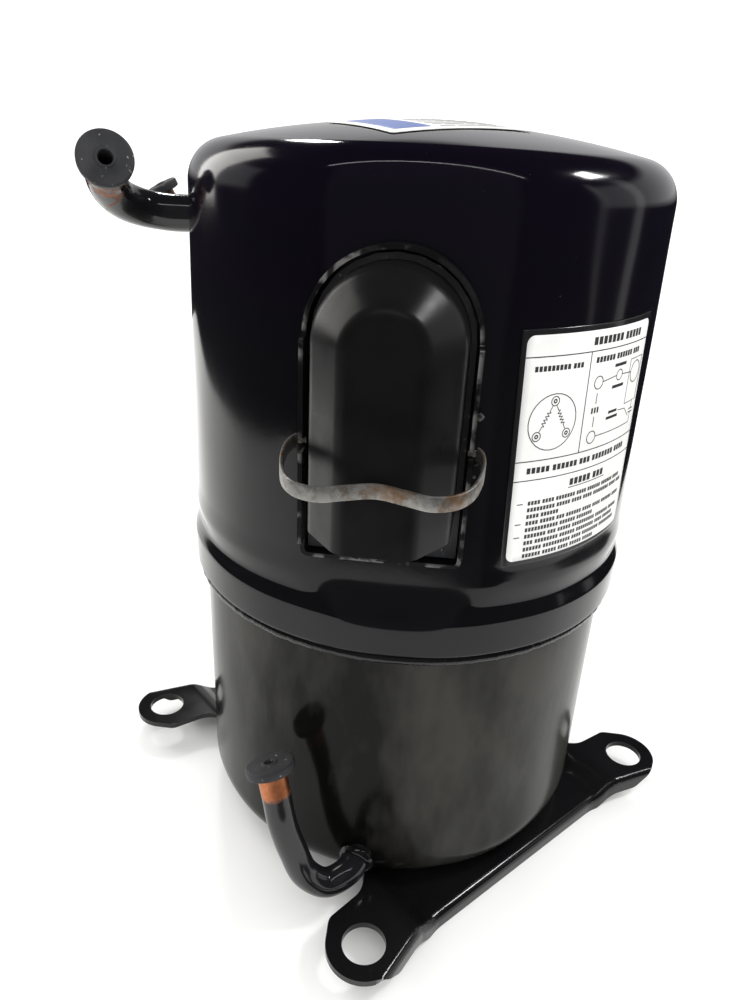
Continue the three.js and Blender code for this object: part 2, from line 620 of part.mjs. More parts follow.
// A disc on the cylinders' axis, on the side `sign`, between two distances from the middle.
function cylinderDisc(sign, radius, from, to) {
  const [x0, x1] = sign > 0 ? [from, to] : [-to, -from];
  return rodAlongX(radius, 0, CYLINDER_Z, x0, x1, 28);
}

const VALVE_PLATE_T = 4;
const sides = [["left", -1], ["right", 1]];
for (const [side, sign] of sides) {
  const face = CYLINDER_END_X + FIT_GAP;
  const port = (y, r) => rodAlongX(r, y, CYLINDER_Z, -100, 100, 10);
  const valvePlate = cylinderDisc(sign, HEAD_R, face, face + VALVE_PLATE_T);
  add(`valve_plate_${side}`, cut(valvePlate, port(-9, 3), port(9, 4)), STEEL);
  const head = cylinderDisc(sign, HEAD_R, face + VALVE_PLATE_T + FIT_GAP, face + 18);
  const plenum = cylinderDisc(sign, HEAD_R - 7, face + VALVE_PLATE_T, face + 14);
  add(`cylinder_head_${side}`, cut(head, plenum), IRON);
}

const [MUFFLER_Y, MUFFLER_Z] = [-69.5, 84];
add("discharge_muffler", join(
  rodAlongX(12.5, MUFFLER_Y, MUFFLER_Z, -28, 28, 20),
  rodAlongX(4.5, MUFFLER_Y, MUFFLER_Z, -33, -27, 12),
  rodAlongY(4, 12, MUFFLER_Z, -60, -CASE_R - FIT_GAP, 12),
), STEEL);
const shockRoute = route([
  [-33.4, MUFFLER_Y, MUFFLER_Z], [-44, -70, 83], [-56, -64, 76], [-63, -58, 64], [-62, -60, 50],
  [-50, -70, 38], [-32, -80, 28], [-16, -83.5, 22.5], [-8, -86, 21.4], [-7, -90.5, 21.4],
]);
add("discharge_shock_loop", sweep(shockRoute, 3.2, 0, 8, 30), COPPER);
const reliefValve = join(
  rod(6, CASE_TOP_Z + FIT_GAP, CASE_TOP_Z + 12, 6),
  rod(3.5, CASE_TOP_Z + 11, CASE_TOP_Z + 20, 12),
);
add("relief_valve", reliefValve.translate(0, 61, 0), BRASS);

// ---------- motor ----------
add("stator_core", ring(STATOR_BORE_R, STATOR_R, ...STATOR_Z, 36), STEEL);
const winding = (inner, outer, z0, z1) => {
  const chamfer = 5;
  return lathe([
    [inner + chamfer, z0], [outer - chamfer, z0], [outer, z0 + chamfer], [outer, z1 - chamfer],
    [outer - chamfer, z1], [inner + chamfer, z1], [inner, z1 - chamfer], [inner, z0 + chamfer],
    [inner + chamfer, z0],
  ], 24);
};
add("lower_winding", winding(40, 54.5, 119, STATOR_Z[0] - FIT_GAP), VARNISH);
add("upper_winding", winding(42, 64, STATOR_Z[1] + FIT_GAP, 258), VARNISH);

const capFootZ = STATOR_Z[1] + FIT_GAP;
const capOutside = [[CAP_R, capFootZ], [CAP_R, CAP_TOP_Z - 6.3], [CAP_R - 7, CAP_TOP_Z], [16, CAP_TOP_Z]];
const capInside = [
  [16, CAP_TOP_Z - CAP_SHEET], [CAP_R - 8, CAP_TOP_Z - CAP_SHEET],
  [CAP_R - CAP_SHEET, CAP_TOP_Z - 7.3], [CAP_R - CAP_SHEET, capFootZ], capOutside[0],
];
add("motor_end_cap", lathe([...capOutside, ...capInside], 32), STEEL);
add("overload_protector", rod(11, CAP_TOP_Z + FIT_GAP, 281, 20).translate(32, 22, 0), PHENOLIC);
const leadRoute = route([
  [TERM_X, -46, 269.7], [TERM_X, -58, 270.5], [TERM_X, -72, 266], [TERM_X, -77.5, 256], [TERM_X, -79.5, 247],
]);
add("motor_leads", sweep(leadRoute, 2.6, 0, 8, 14), RUBBER);

add("rotor_core", ring(SHAFT_R + RUNNING_GAP, ROTOR_R, ...ROTOR_Z, 36), STEEL);
const lowerRingTop = ROTOR_Z[0] - FIT_GAP;
const upperRingBottom = ROTOR_Z[1] + FIT_GAP;
const upperRingTop = upperRingBottom + END_RING_T;
add("rotor_end_ring_lower", ring(...END_RING_R, lowerRingTop - END_RING_T, lowerRingTop, 28), ALUMINIUM);
add("rotor_end_ring_upper", ring(...END_RING_R, upperRingBottom, upperRingTop, 28), ALUMINIUM);
const halfDisc = plate([...arc(0, 0, 36, 90, 270, 10), ...arc(0, 0, 24, 270, 90, 8)], 8);
add("rotor_counterweight", halfDisc.translate(0, 0, upperRingTop + FIT_GAP), BRASS);

// ---------- crank, slide block, yoke and pistons ----------
const [webBottom, webTop] = WEB_Z;
const balanceWeight = plate([...arc(0, 0, 30, 110, 250, 8), [0, -10], [0, 10]], webTop - webBottom);
const web = join(rod(WEB_R, webBottom, webTop, 24), balanceWeight.translate(0, 0, webBottom));
const pin = rod(PIN_R, PIN_BOTTOM_Z, webBottom + 0.5, 24).translate(CRANK_R, 0, 0);
add("crankshaft", join(rod(SHAFT_R, webTop - 0.4, 243, 24), web, pin), STEEL);
const pickup = ring(1.7, 3, 20, PIN_BOTTOM_Z - FIT_GAP, 12);
add("oil_pickup_tube", pickup.translate(CRANK_R / 2, 0, 0), STEEL);

// A bar round the cylinders' height with a half width and a half length.
const barAround = ([halfX, halfY], halfH) =>
  box(-halfX, halfX, -halfY, halfY, CYLINDER_Z - 1 - halfH, CYLINDER_Z - 1 + halfH);
const block = cut(barAround(BLOCK_HALF, 11), rod(PIN_R + 0.4, CYLINDER_Z - 20, CYLINDER_Z + 20, 24));
add("slide_block", block.translate(CRANK_R, 0, 0), BRASS);
const yokeFrame = cut(barAround(YOKE_HALF, 12), barAround(YOKE_SLOT_HALF, 20));
add("scotch_yoke", yokeFrame.translate(CRANK_R, 0, 0), STEEL);
const skirtX = CROWN_X - PISTON_LENGTH;
for (const [side, sign] of sides) {
  const piston = cylinderDisc(sign, PISTON_R, skirtX, CROWN_X);
  const stem = cylinderDisc(sign, 8, YOKE_HALF[0] + FIT_GAP, skirtX + 1);
  add(`piston_${side}`, join(piston, stem).translate(CRANK_R, 0, 0), ALUMINIUM);
}

export default compressor;
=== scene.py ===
"""Looks of a hermetic refrigeration compressor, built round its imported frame.

Shapes are drawn in millimetres in the frame's own axes and scaled to metres when a mesh is made.
"""

import math

import bmesh
import bpy
from mathutils import Matrix, Vector, noise


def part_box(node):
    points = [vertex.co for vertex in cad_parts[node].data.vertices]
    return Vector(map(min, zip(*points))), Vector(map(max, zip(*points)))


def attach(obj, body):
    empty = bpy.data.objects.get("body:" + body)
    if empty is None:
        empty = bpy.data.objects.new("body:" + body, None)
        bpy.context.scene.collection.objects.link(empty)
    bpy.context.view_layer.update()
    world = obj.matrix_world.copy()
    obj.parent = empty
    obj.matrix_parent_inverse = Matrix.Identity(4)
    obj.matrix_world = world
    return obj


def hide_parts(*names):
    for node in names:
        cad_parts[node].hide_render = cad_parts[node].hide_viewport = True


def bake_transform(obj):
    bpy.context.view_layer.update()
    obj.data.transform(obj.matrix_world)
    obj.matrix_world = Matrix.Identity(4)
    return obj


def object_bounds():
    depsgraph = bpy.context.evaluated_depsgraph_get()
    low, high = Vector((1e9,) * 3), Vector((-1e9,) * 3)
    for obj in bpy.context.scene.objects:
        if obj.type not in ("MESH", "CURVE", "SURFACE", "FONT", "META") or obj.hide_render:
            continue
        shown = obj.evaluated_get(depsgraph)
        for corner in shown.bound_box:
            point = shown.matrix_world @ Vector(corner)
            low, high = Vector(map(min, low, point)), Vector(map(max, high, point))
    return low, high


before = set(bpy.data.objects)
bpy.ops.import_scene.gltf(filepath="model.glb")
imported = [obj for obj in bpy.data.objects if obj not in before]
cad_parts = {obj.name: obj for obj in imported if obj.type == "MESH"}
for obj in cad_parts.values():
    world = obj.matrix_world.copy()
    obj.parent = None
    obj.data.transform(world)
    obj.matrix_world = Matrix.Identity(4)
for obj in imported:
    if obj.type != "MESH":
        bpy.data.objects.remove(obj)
cad_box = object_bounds()

# ---------- driving dimensions, in millimetres ----------
MM = 0.001
FIT_GAP = 0.3
SHEET = 3.0
UP = Vector((0, 0, 1))


def box_mm(node):
    low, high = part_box(node)
    return low / MM, high / MM


_, lower_high = box_mm("lower_shell")
upper_low, upper_high = box_mm("upper_shell")
cover_low, cover_high = box_mm("terminal_cover")
fence_low, fence_high = box_mm("terminal_fence")
label_low, label_high = box_mm("wiring_label")

LOWER_R = lower_high.x
LOWER_TOP_Z = lower_high.z
LOWER_KNUCKLE_R = 16.0
BOSS_R = 50.0
BOSS_RISE = 4.0
BAND_R = upper_high.x
SEAM_Z = upper_low.z
CROWN_Z = upper_high.z
BAND_TOP_Z = 151.5
NECK_R, NECK_Z = 101.9, 157.5  # the waist between the band and the wall
WALL_START_Z = 160.0
WALL_START_R = 102.8
SHOULDER_R = 100.6
DOME_KNUCKLE_R = 17.0
DOME_R = 380.0
DOME_CENTRE_Z = CROWN_Z - DOME_R
KNUCKLE_CENTRE_R = SHOULDER_R - DOME_KNUCKLE_R
SHOULDER_Z = DOME_CENTRE_Z + math.sqrt((DOME_R - DOME_KNUCKLE_R) ** 2 - KNUCKLE_CENTRE_R ** 2)
FLAT_HALF_W = 33.0
FLAT_FOOT_Z = (150.0, 166.0)  # the scoop at the bottom of the flat panel
FLAT_TOP_Z = 308.0
FLAT_TOP_ROUND = (9.0, 12.0)  # how far back and up the panel's top edge rounds
CREASE = 3.2  # softness of the panel's vertical edges

TERM_X = (cover_low.x + cover_high.x) / 2
COVER_HALF_W = (cover_high.x - cover_low.x) / 2
COVER_BOTTOM_Z = cover_low.z
COVER_BACK_Y = cover_high.y
COVER_FRONT_Y = cover_low.y
COVER_ARCH_Z = 260.1
COVER_SHEET = 1.6
COVER_SHOULDER = (24.3, -122.0)  # half width and depth where the cover's side turns in
COVER_FACE_HALF_W = 12.4
COVER_ARCH_RISE = 3.2  # how much higher the arch is at the face than at the fence
FENCE_HALF_W = (fence_high.x - fence_low.x) / 2
FENCE_BOTTOM_Z = fence_low.z
FENCE_FRONT_Y = fence_low.y
FENCE_ARCH_Z = 261.0
FENCE_SHEET = 1.6
FENCE_BACK_Y = -93.5
FENCE_SILL_DROP = 6.0
FENCE_ARCH_DROP = 5.0
NOTCH_HALF_W = 2.2
STRAP_PIVOT = Vector((0, -104.5, 223.7))
STRAP_TILT = math.radians(2)
STRAP_W = 5.2
STRAP_T = 1.2
STRAP_HALF_LOOP = (
    (31.5, -103.5), (33, -108), (33.4, -115), (32, -127), (28.8, -137.5), (24, -143.5), (17, -145.8),
    (9, -143), (0, -140.2),
)

FOOT_HALF_PITCH = 190.5 / 2
FOOT_HOLE_R = 9.5
RAIL_TOP_Z = BOSS_RISE - FIT_GAP
RAIL_FACE = 102.3  # from the middle of the housing to the flange
RAIL_INNER = 58.0  # from the middle of the housing to the plate's inner edge
FLANGE_DEPTH = 10.0
EAR_RISE = 7.0
EAR_R = 16.5
RAIL_FOLD_R = 3.6

SUCTION_R = 8.0
DISCHARGE_R = 6.35
PROCESS_R = 4.0
SUCTION_ROUTE = [
    (-91, 3, 288.5), (-104, 2.5, 288.5), (-116, 0.5, 288.7), (-126, -5, 290.5),
    (-131.5, -14.5, 294.5), (-131.8, -24, 300), (-128.8, -33.5, 305.8), (-124.7, -41.4, 309),
]
DISCHARGE_ROUTE = [
    (-7, -91, 21.4), (-7.4, -100, 21.4), (-11, -107, 19), (-20, -112, 16.3), (-29, -114.5, 23.5),
    (-34.7, -115, 37.4), (-39.3, -114, 50.5), (-42.6, -111, 63.1), (-45.6, -108, 74),
]
PROCESS_ROUTE = [
    (-91, 24, 284), (-104, 24, 284), (-114, 23, 285.5), (-121, 21.5, 290), (-124, 20, 296),
]


# ---------- camera ----------
LENS, SENSOR_W = 27.04, 36
CAMERA_PLACE = (0.0118, -0.3487, 0.3135)
CAMERA_TURNS = (("Z", 4.564), ("X", 65.83), ("Z", 3.041))  # aside, up and rolled, in degrees


def add_camera():
    camera = bpy.data.cameras.new("camera")
    camera.lens = LENS
    camera.sensor_width = SENSOR_W
    camera.clip_start = 0.01
    holder = bpy.data.objects.new("camera", camera)
    bpy.context.scene.collection.objects.link(holder)
    turn, tip, roll = (Matrix.Rotation(math.radians(degrees), 4, axis) for axis, degrees in CAMERA_TURNS)
    holder.matrix_world = Matrix.Translation(CAMERA_PLACE) @ turn @ tip @ roll
    bpy.context.scene.camera = holder
    bpy.context.scene.view_settings.view_transform = "Standard"


add_camera()


# ---------- outlines and surfaces ----------
def arc(centre, radius, start, end, steps):
    """Points round a centre, with the angles in degrees."""
    angles = [math.radians(start + (end - start) * i / steps) for i in range(steps + 1)]
    return [Vector((centre[0] + radius * math.cos(a), centre[1] + radius * math.sin(a))) for a in angles]


def rounded(corners, closed=False, step=12):
    """The outline through (u, v, radius) corners, each turned on its own radius."""
    points = []
    last = len(corners) - 1
    for i, (u, v, radius) in enumerate(corners):
        here = Vector((u, v))
        if radius == 0 or (not closed and i in (0, last)):
            points.append(here)
            continue
        before = (Vector(corners[i - 1][:2]) - here).normalized()
        after = (Vector(corners[(i + 1) % len(corners)][:2]) - here).normalized()
        half = before.angle(after) / 2
        centre = here + (before + after).normalized() * radius / math.sin(half)
        start = here + before * radius / math.tan(half) - centre
        end = here + after * radius / math.tan(half) - centre
        turn = math.pi - 2 * half
        steps = max(1, math.ceil(math.degrees(turn) / step))
        for k in range(steps + 1):
            angle = turn * k / steps
            points.append(centre + (start * math.sin(turn - angle) + end * math.sin(angle)) / math.sin(turn))
    return points


def subdivided(points, longest):
    """The same outline with no stretch longer than `longest`."""
    dense = [points[0]]
    for a, b in zip(points, points[1:]):
        steps = max(1, math.ceil((b - a).length / longest))
        dense.extend(a.lerp(b, k / steps) for k in range(1, steps + 1))
    return dense


def catmull_rom(stops, per_span):
    """Centripetal Catmull-Rom curve through the stops."""
    stops = [Vector(stop) for stop in stops]
    stops = [2 * stops[0] - stops[1], *stops, 2 * stops[-1] - stops[-2]]
    points = []
    for p0, p1, p2, p3 in zip(stops, stops[1:], stops[2:], stops[3:]):
        d0, d1, d2 = ((b - a).length ** 0.5 for a, b in ((p0, p1), (p1, p2), (p2, p3)))
        leave = ((p1 - p0) / d0 - (p2 - p0) / (d0 + d1) + (p2 - p1) / d1) * d1
        arrive = ((p2 - p1) / d1 - (p3 - p1) / (d1 + d2) + (p3 - p2) / d2) * d1
        for k in range(per_span):
            t = k / per_span
            points.append(
                (2 * t ** 3 - 3 * t ** 2 + 1) * p1 + (t ** 3 - 2 * t ** 2 + t) * leave
                + (3 * t ** 2 - 2 * t ** 3) * p2 + (t ** 3 - t ** 2) * arrive
            )
    return [*points, stops[-2]]


def along(points):
    """A function that gives the point at a distance along an open line, and the line's length."""
    reach = [0.0]
    for a, b in zip(points, points[1:]):
        reach.append(reach[-1] + (b - a).length)

    def at(distance):
        distance = min(max(distance, 0.0), reach[-1])
        i = next((k for k in range(1, len(reach)) if reach[k] >= distance), len(reach) - 1)
        share = (distance - reach[i - 1]) / (reach[i] - reach[i - 1])
        return points[i - 1].lerp(points[i], share)

    return at, reach[-1]


def grid(rings, closed=False):
    """Vertices and quads of a surface through rings of equal count, and back to the first if it is closed."""
    count = len(rings[0])
    vertices = [v for ring in rings for v in ring]
    faces = []
    for i in range(len(rings) - (0 if closed else 1)):
        below, above = i * count, (i + 1) % len(rings) * count
        for j in range(count):
            k = (j + 1) % count
            faces.append((below + j, below + k, above + k, above + j))
    return vertices, faces


def capped(rings):
    """Vertices and faces of a bar through rings, with both ends closed."""
    vertices, faces = grid(rings)
    count, last = len(rings[0]), len(vertices) - 1
    return vertices, [*faces, tuple(range(count)), tuple(last - i for i in range(count))]


def revolved(profile, segments):
    """One ring of points round Z for each (radius, height)."""
    turns = [2 * math.pi * k / segments for k in range(segments)]
    return [[Vector((r * math.sin(a), -r * math.cos(a), z)) for a in turns] for r, z in profile]


def cleaned(form, sharp_degrees=40):
    """The finished mesh in metres, smooth between its sharp edges."""
    bmesh.ops.remove_doubles(form, verts=form.verts[:], dist=0.002)
    bmesh.ops.recalc_face_normals(form, faces=form.faces[:])
    for vertex in form.verts:
        vertex.co *= MM
    mesh = bpy.data.meshes.new("mesh")
    form.to_mesh(mesh)
    form.free()
    mesh.shade_smooth()
    mesh.set_sharp_from_angle(angle=math.radians(sharp_degrees))
    return mesh


def solid(vertices, faces, sharp_degrees=40):
    """A metre-sized mesh from millimetre vertices."""
    form = bmesh.new()
    made = [form.verts.new(v) for v in vertices]
    for face in faces:
        form.faces.new([made[i] for i in face])
    return cleaned(form, sharp_degrees)


def filled(outlines, u_cuts=(), v_cuts=()):
    """A flat sheet inside the first outline and outside the others, cut along u and v lines."""
    form = bmesh.new()
    for outline in outlines:
        loop = [form.verts.new((u, v, 0)) for u, v in outline]
        for a, b in zip(loop, loop[1:] + loop[:1]):
            form.edges.new((a, b))
    bmesh.ops.triangle_fill(form, use_beauty=True, normal=(0, 0, 1), edges=form.edges[:])
    cuts = [((u, 0, 0), (1, 0, 0)) for u in u_cuts] + [((0, v, 0), (0, 1, 0)) for v in v_cuts]
    for point, normal in cuts:
        everything = form.verts[:] + form.edges[:] + form.faces[:]
        bmesh.ops.bisect_plane(form, geom=everything, plane_co=point, plane_no=normal, dist=1e-4)
    return form


def faced(mesh, outward):
    """The mesh with its faces turned, on the whole, the way that outward(centre) points."""
    if sum(face.normal.dot(outward(face.center)) * face.area for face in mesh.polygons) < 0:
        mesh.flip_normals()
    return mesh


def modified(mesh, modifiers):
    """The mesh after the given (kind, settings) modifiers."""
    holder = bpy.data.objects.new("holder", mesh)
    bpy.context.scene.collection.objects.link(holder)
    for kind, settings in modifiers:
        modifier = holder.modifiers.new(kind.lower(), kind)
        for key, value in settings.items():
            setattr(modifier, key, value)
    graph = bpy.context.evaluated_depsgraph_get()
    made = bpy.data.meshes.new_from_object(
        holder.evaluated_get(graph), preserve_all_data_layers=True, depsgraph=graph
    )
    bpy.data.objects.remove(holder)
    return made


def sheet_metal(mesh, thickness, edge):
    """A skin given a thickness inwards and rolled edges, in millimetres."""
    bend = math.radians(50)
    return modified(mesh, [
        ("SOLIDIFY", {"thickness": thickness * MM, "offset": -1, "use_even_offset": True}),
        ("BEVEL", {"width": edge * MM, "segments": 3, "limit_method": "ANGLE", "angle_limit": bend}),
        ("WEIGHTED_NORMAL", {"keep_sharp": False, "weight": 80}),
    ])


def swept(path, section):
    """A closed bar along a path. `section(share)` gives its outline there, as (side, up) offsets."""
    rings = []
    for i, point in enumerate(path):
        ahead = (path[min(i + 1, len(path) - 1)] - path[max(i - 1, 0)]).normalized()
        side = ahead.cross(UP).normalized()
        top = side.cross(ahead)
        rings.append([point + side * a + top * b for a, b in section(i / (len(path) - 1))])
    return solid(*capped(rings), 50)


def wobble(point, size, amount):
    """A slow, seeded unevenness, as drawn sheet metal has."""
    return noise.noise(point / size) * amount


# ---------- materials ----------
class Nodes:
    """Short ways to add and join shader nodes."""

    def __init__(self, tree):
        self.tree = tree

    def set(self, socket, value):
        if isinstance(value, bpy.types.NodeSocket):
            self.tree.links.new(value, socket)
        else:
            socket.default_value = value

    def add(self, kind, links=None, **settings):
        node = self.tree.nodes.new(kind)
        for key, value in settings.items():
            setattr(node, key, value)
        for key, value in (links or {}).items():
            self.set(node.inputs[key], value)
        return node

    def remap(self, value, low, high, to_low=0.0, to_high=1.0):
        links = {"Value": value, "From Min": low, "From Max": high, "To Min": to_low, "To Max": to_high}
        return self.add("ShaderNodeMapRange", links).outputs["Result"]

    def maths(self, operation, a, b):
        return self.add("ShaderNodeMath", {0: a, 1: b}, operation=operation).outputs["Value"]

    def mixed(self, share, a, b):
        colours = [(*value, 1) if isinstance(value, tuple) else value for value in (a, b)]
        links = {"Factor": share, 6: colours[0], 7: colours[1]}
        return self.add("ShaderNodeMix", links, data_type="RGBA").outputs[2]


class Look(Nodes):
    """A Principled material and short ways to wire textures into it."""

    def __init__(self, name, **constants):
        self.material = bpy.data.materials.new(name)
        self.material.use_nodes = True
        super().__init__(self.material.node_tree)
        self.shader = self.tree.nodes["Principled BSDF"]
        self.place = self.add("ShaderNodeTexCoord").outputs["Object"]
        self.height = None
        for socket, value in constants.items():
            self.shader.inputs[socket.replace("_", " ")].default_value = value

    def noise(self, per_metre, detail=3.0, stretch=None, roughness=0.5):
        place = self.place
        if stretch:
            place = self.add("ShaderNodeMapping", {"Vector": place, "Scale": stretch}).outputs["Vector"]
        links = {"Vector": place, "Scale": per_metre, "Detail": detail, "Roughness": roughness}
        return self.add("ShaderNodeTexNoise", links).outputs["Fac"]

    def cell_colours(self, per_metre):
        return self.add("ShaderNodeTexVoronoi", {"Vector": self.place, "Scale": per_metre}).outputs["Color"]

    def attribute(self, name):
        return self.add("ShaderNodeAttribute", attribute_name=name).outputs["Fac"]

    def height_above(self, low_mm, high_mm):
        """0 below one height of the frame and 1 above another."""
        z = self.add("ShaderNodeSeparateXYZ", {"Vector": self.place}).outputs["Z"]
        return self.remap(z, low_mm * MM, high_mm * MM)

    def worn_edges(self, low, high):
        point = self.add("ShaderNodeNewGeometry").outputs["Pointiness"]
        return self.remap(point, low, high)

    def bump(self, value, millimetres, strength):
        links = {"Height": value, "Distance": millimetres * MM, "Strength": strength}
        if self.height is not None:
            links["Normal"] = self.height
        self.height = self.add("ShaderNodeBump", links).outputs["Normal"]

    def done(self, colour, roughness):
        self.set(self.shader.inputs["Base Color"], colour)
        self.set(self.shader.inputs["Roughness"], roughness)
        if self.height is not None:
            self.set(self.shader.inputs["Normal"], self.height)
        return self.material


def gloss_paint(name, dark, light, rough, specular, drawn=0.0, painted_reflection_tint=None):
    """Black enamel: orange peel, dust, faint runs and drawing lines telegraphing through it as bumps, with
    painted reflections where asked: pale vertical streaks and a violet cast towards the top.
    """
    look = Look(name, Specular_IOR_Level=specular)
    patches = look.noise(14, 4)
    colour = look.mixed(look.remap(patches, 0.35, 0.7), dark, light)
    # Painted reflection: a violet cast that grows towards the top of the housing stands in for the sky
    # reflected there.
    if painted_reflection_tint is not None:
        share = look.height_above(235, 315)
        colour = look.mixed(share, colour, painted_reflection_tint)
    dust = look.remap(look.noise(900, 1), 0.79, 0.84)
    colour = look.mixed(look.maths("MULTIPLY", dust, 0.2), colour, (0.1, 0.095, 0.09))
    smears = look.noise(22, 5, stretch=(1, 1, 0.35))
    roughness = look.remap(smears, 0.3, 0.75, rough[0], rough[1])
    look.bump(look.noise(420, 2), 0.02, 0.35)
    look.bump(look.noise(36, 2), 0.5, 0.12)
    if drawn:
        # Painted reflection: pale grey vertical streaks in the colour stand in for the floor and room
        # reflected in the housing; the bump below is the drawing lines.
        painted_reflection_streaks = look.remap(look.noise(13, 5, stretch=(1, 1, 0.4), roughness=0.6), 0.46, 0.62)
        colour = look.mixed(painted_reflection_streaks, colour, (0.032, 0.0315, 0.028))
        look.bump(look.noise(55, 4, stretch=(1, 1, 0.06)), 0.4, drawn)
    return look.done(colour, roughness)


def satin_paint(name, worn):
    """Thin stamped sheet in satin black, with a share of bare metal along its edges."""
    look = Look(name, Specular_IOR_Level=0.15)
    patches = look.noise(30, 5)
    colour = look.mixed(look.remap(patches, 0.3, 0.7), (0.003, 0.003, 0.0032), (0.006, 0.006, 0.0062))
    wear = look.maths("MULTIPLY", look.worn_edges(0.52, 0.6), look.remap(look.noise(140, 4), 0.48, 0.6))
    colour = look.mixed(look.maths("MULTIPLY", wear, worn), colour, (0.16, 0.155, 0.15))
    roughness = look.remap(look.noise(90, 4), 0.3, 0.7, 0.26, 0.4)
    look.bump(look.noise(700, 2), 0.02, 0.4)
    look.bump(look.noise(60, 2), 0.3, 0.1)
    return look.done(colour, roughness)


def galvanised():
    """Zinc-plated strip with spangle, grime in patches and brown stains."""
    look = Look("galvanised", Metallic=0.85)
    spangle = look.cell_colours(330)
    flakes = look.add("ShaderNodeRGBToBW", {"Color": spangle}).outputs["Val"]
    tone = look.mixed(flakes, (0.24, 0.235, 0.22), (0.36, 0.355, 0.335))
    grime = look.remap(look.noise(180, 6, roughness=0.7), 0.47, 0.6)
    tone = look.mixed(look.maths("MULTIPLY", grime, 0.75), tone, (0.12, 0.105, 0.085))
    rust = look.remap(look.noise(60, 5, roughness=0.65), 0.54, 0.66)
    tone = look.mixed(look.maths("MULTIPLY", rust, 0.8), tone, (0.19, 0.09, 0.03))
    roughness = look.remap(look.noise(120, 4), 0.3, 0.7, 0.36, 0.6)
    look.bump(look.noise(500, 3), 0.05, 0.4)
    return look.done(tone, roughness)


def moulded_rubber():
    """Dull moulded rubber with pale specks of dust."""
    look = Look("moulded_rubber", Specular_IOR_Level=0.35)
    tone = look.mixed(look.remap(look.noise(90, 5), 0.3, 0.7), (0.02, 0.0205, 0.023), (0.037, 0.0375, 0.041))
    specks = look.remap(look.noise(420, 2), 0.68, 0.74)
    tone = look.mixed(look.maths("MULTIPLY", specks, 0.6), tone, (0.3, 0.29, 0.26))
    roughness = look.remap(look.noise(150, 3), 0.3, 0.7, 0.55, 0.75)
    look.bump(look.noise(900, 3), 0.06, 0.5)
    return look.done(tone, roughness)


def tube_finish(name, fresh, stained, overspray):
    """Painted tube whose end is bare copper. `bare` runs from 0 on the paint to 1 at the end."""
    look = Look(name, Specular_IOR_Level=0.5)
    ragged = look.remap(look.noise(240, 4), 0.3, 0.7, -overspray, overspray)
    bare = look.remap(look.maths("ADD", look.attribute("bare"), ragged), 0.46, 0.54)
    copper = look.mixed(look.remap(look.noise(140, 5, roughness=0.7), 0.35, 0.65), fresh, stained)
    colour = look.mixed(bare, (0.008, 0.008, 0.009), copper)
    look.set(look.shader.inputs["Metallic"], bare)
    roughness = look.remap(bare, 0, 1, 0.12, 0.4)
    look.bump(look.noise(500, 2), 0.03, 0.4)
    return look.done(colour, roughness)


def film(name, colour, rough=0.35):
    """Printed plastic film, faintly rippled and smudged."""
    look = Look(name, Specular_IOR_Level=0.4)
    shade = tuple(c * 0.86 for c in colour)
    tone = look.mixed(look.remap(look.noise(35, 4), 0.35, 0.75), colour, shade)
    roughness = look.remap(look.noise(50, 3), 0.3, 0.7, rough, rough + 0.15)
    look.bump(look.noise(120, 2), 0.05, 0.25)
    return look.done(tone, roughness)


def bare_metal(name, dark, light, rough, grain=400, metallic=1.0, stretch=None, height=0.05):
    """Any plain metal: mottled tone, patchy roughness, and a grain that can be drawn out."""
    look = Look(name, Metallic=metallic)
    tone = look.mixed(look.remap(look.noise(45, 5), 0.3, 0.7), dark, light)
    fine = look.noise(grain, 4, stretch=stretch)
    roughness = look.remap(fine, 0.3, 0.7, rough[0], rough[1])
    look.bump(fine, height, 0.6)
    return look.done(tone, roughness)


# The upper enamel carries a painted violet reflection towards its top; the lower enamel carries painted pale
# reflection streaks.
UPPER_PAINT = gloss_paint("upper_enamel", (0.0028, 0.0027, 0.0033), (0.0045, 0.0044, 0.005), (0.06, 0.16),
                          0.28, painted_reflection_tint=(0.003, 0.0021, 0.0052))
LOWER_PAINT = gloss_paint("lower_enamel", (0.002, 0.002, 0.0018), (0.005, 0.0049, 0.0045), (0.1, 0.26),
                          0.1, drawn=0.5)
RAIL_PAINT = gloss_paint("rail_enamel", (0.003, 0.003, 0.0035), (0.006, 0.006, 0.0065), (0.08, 0.24), 0.4)
COVER_PAINT = satin_paint("cover_satin_black", 0.0)
FENCE_PAINT = satin_paint("fence_satin_black", 0.8)
ZINC = galvanised()
RUBBER = moulded_rubber()
SUCTION_FINISH = tube_finish("suction_tube_finish", (0.19, 0.085, 0.05), (0.04, 0.025, 0.02), 0.45)
DISCHARGE_FINISH = tube_finish("discharge_tube_finish", (0.52, 0.2, 0.09), (0.32, 0.11, 0.05), 0.02)
WHITE_FILM = film("white_film", (0.8, 0.8, 0.78))
BLACK_FILM = film("black_film", (0.012, 0.012, 0.013), 0.12)
INK = film("ink", (0.03, 0.03, 0.03), 0.4)
BLUE_INK = film("blue_ink", (0.12, 0.17, 0.4), 0.4)
STEEL = bare_metal("machined_steel", (0.3, 0.31, 0.33), (0.44, 0.45, 0.47), (0.22, 0.4))
LAMINATIONS = bare_metal("laminated_steel", (0.2, 0.21, 0.22), (0.36, 0.37, 0.39), (0.35, 0.6),
                         grain=2000, stretch=(0.02, 0.02, 1), height=0.1)
CAST_IRON = bare_metal("cast_iron", (0.05, 0.05, 0.052), (0.11, 0.11, 0.115), (0.5, 0.75), grain=900,
                       metallic=0.6, height=0.25)
ALUMINIUM = bare_metal("die_cast_aluminium", (0.45, 0.45, 0.47), (0.62, 0.62, 0.64), (0.3, 0.5), grain=600)
BRASS = bare_metal("turned_brass", (0.45, 0.3, 0.09), (0.62, 0.43, 0.15), (0.18, 0.35))
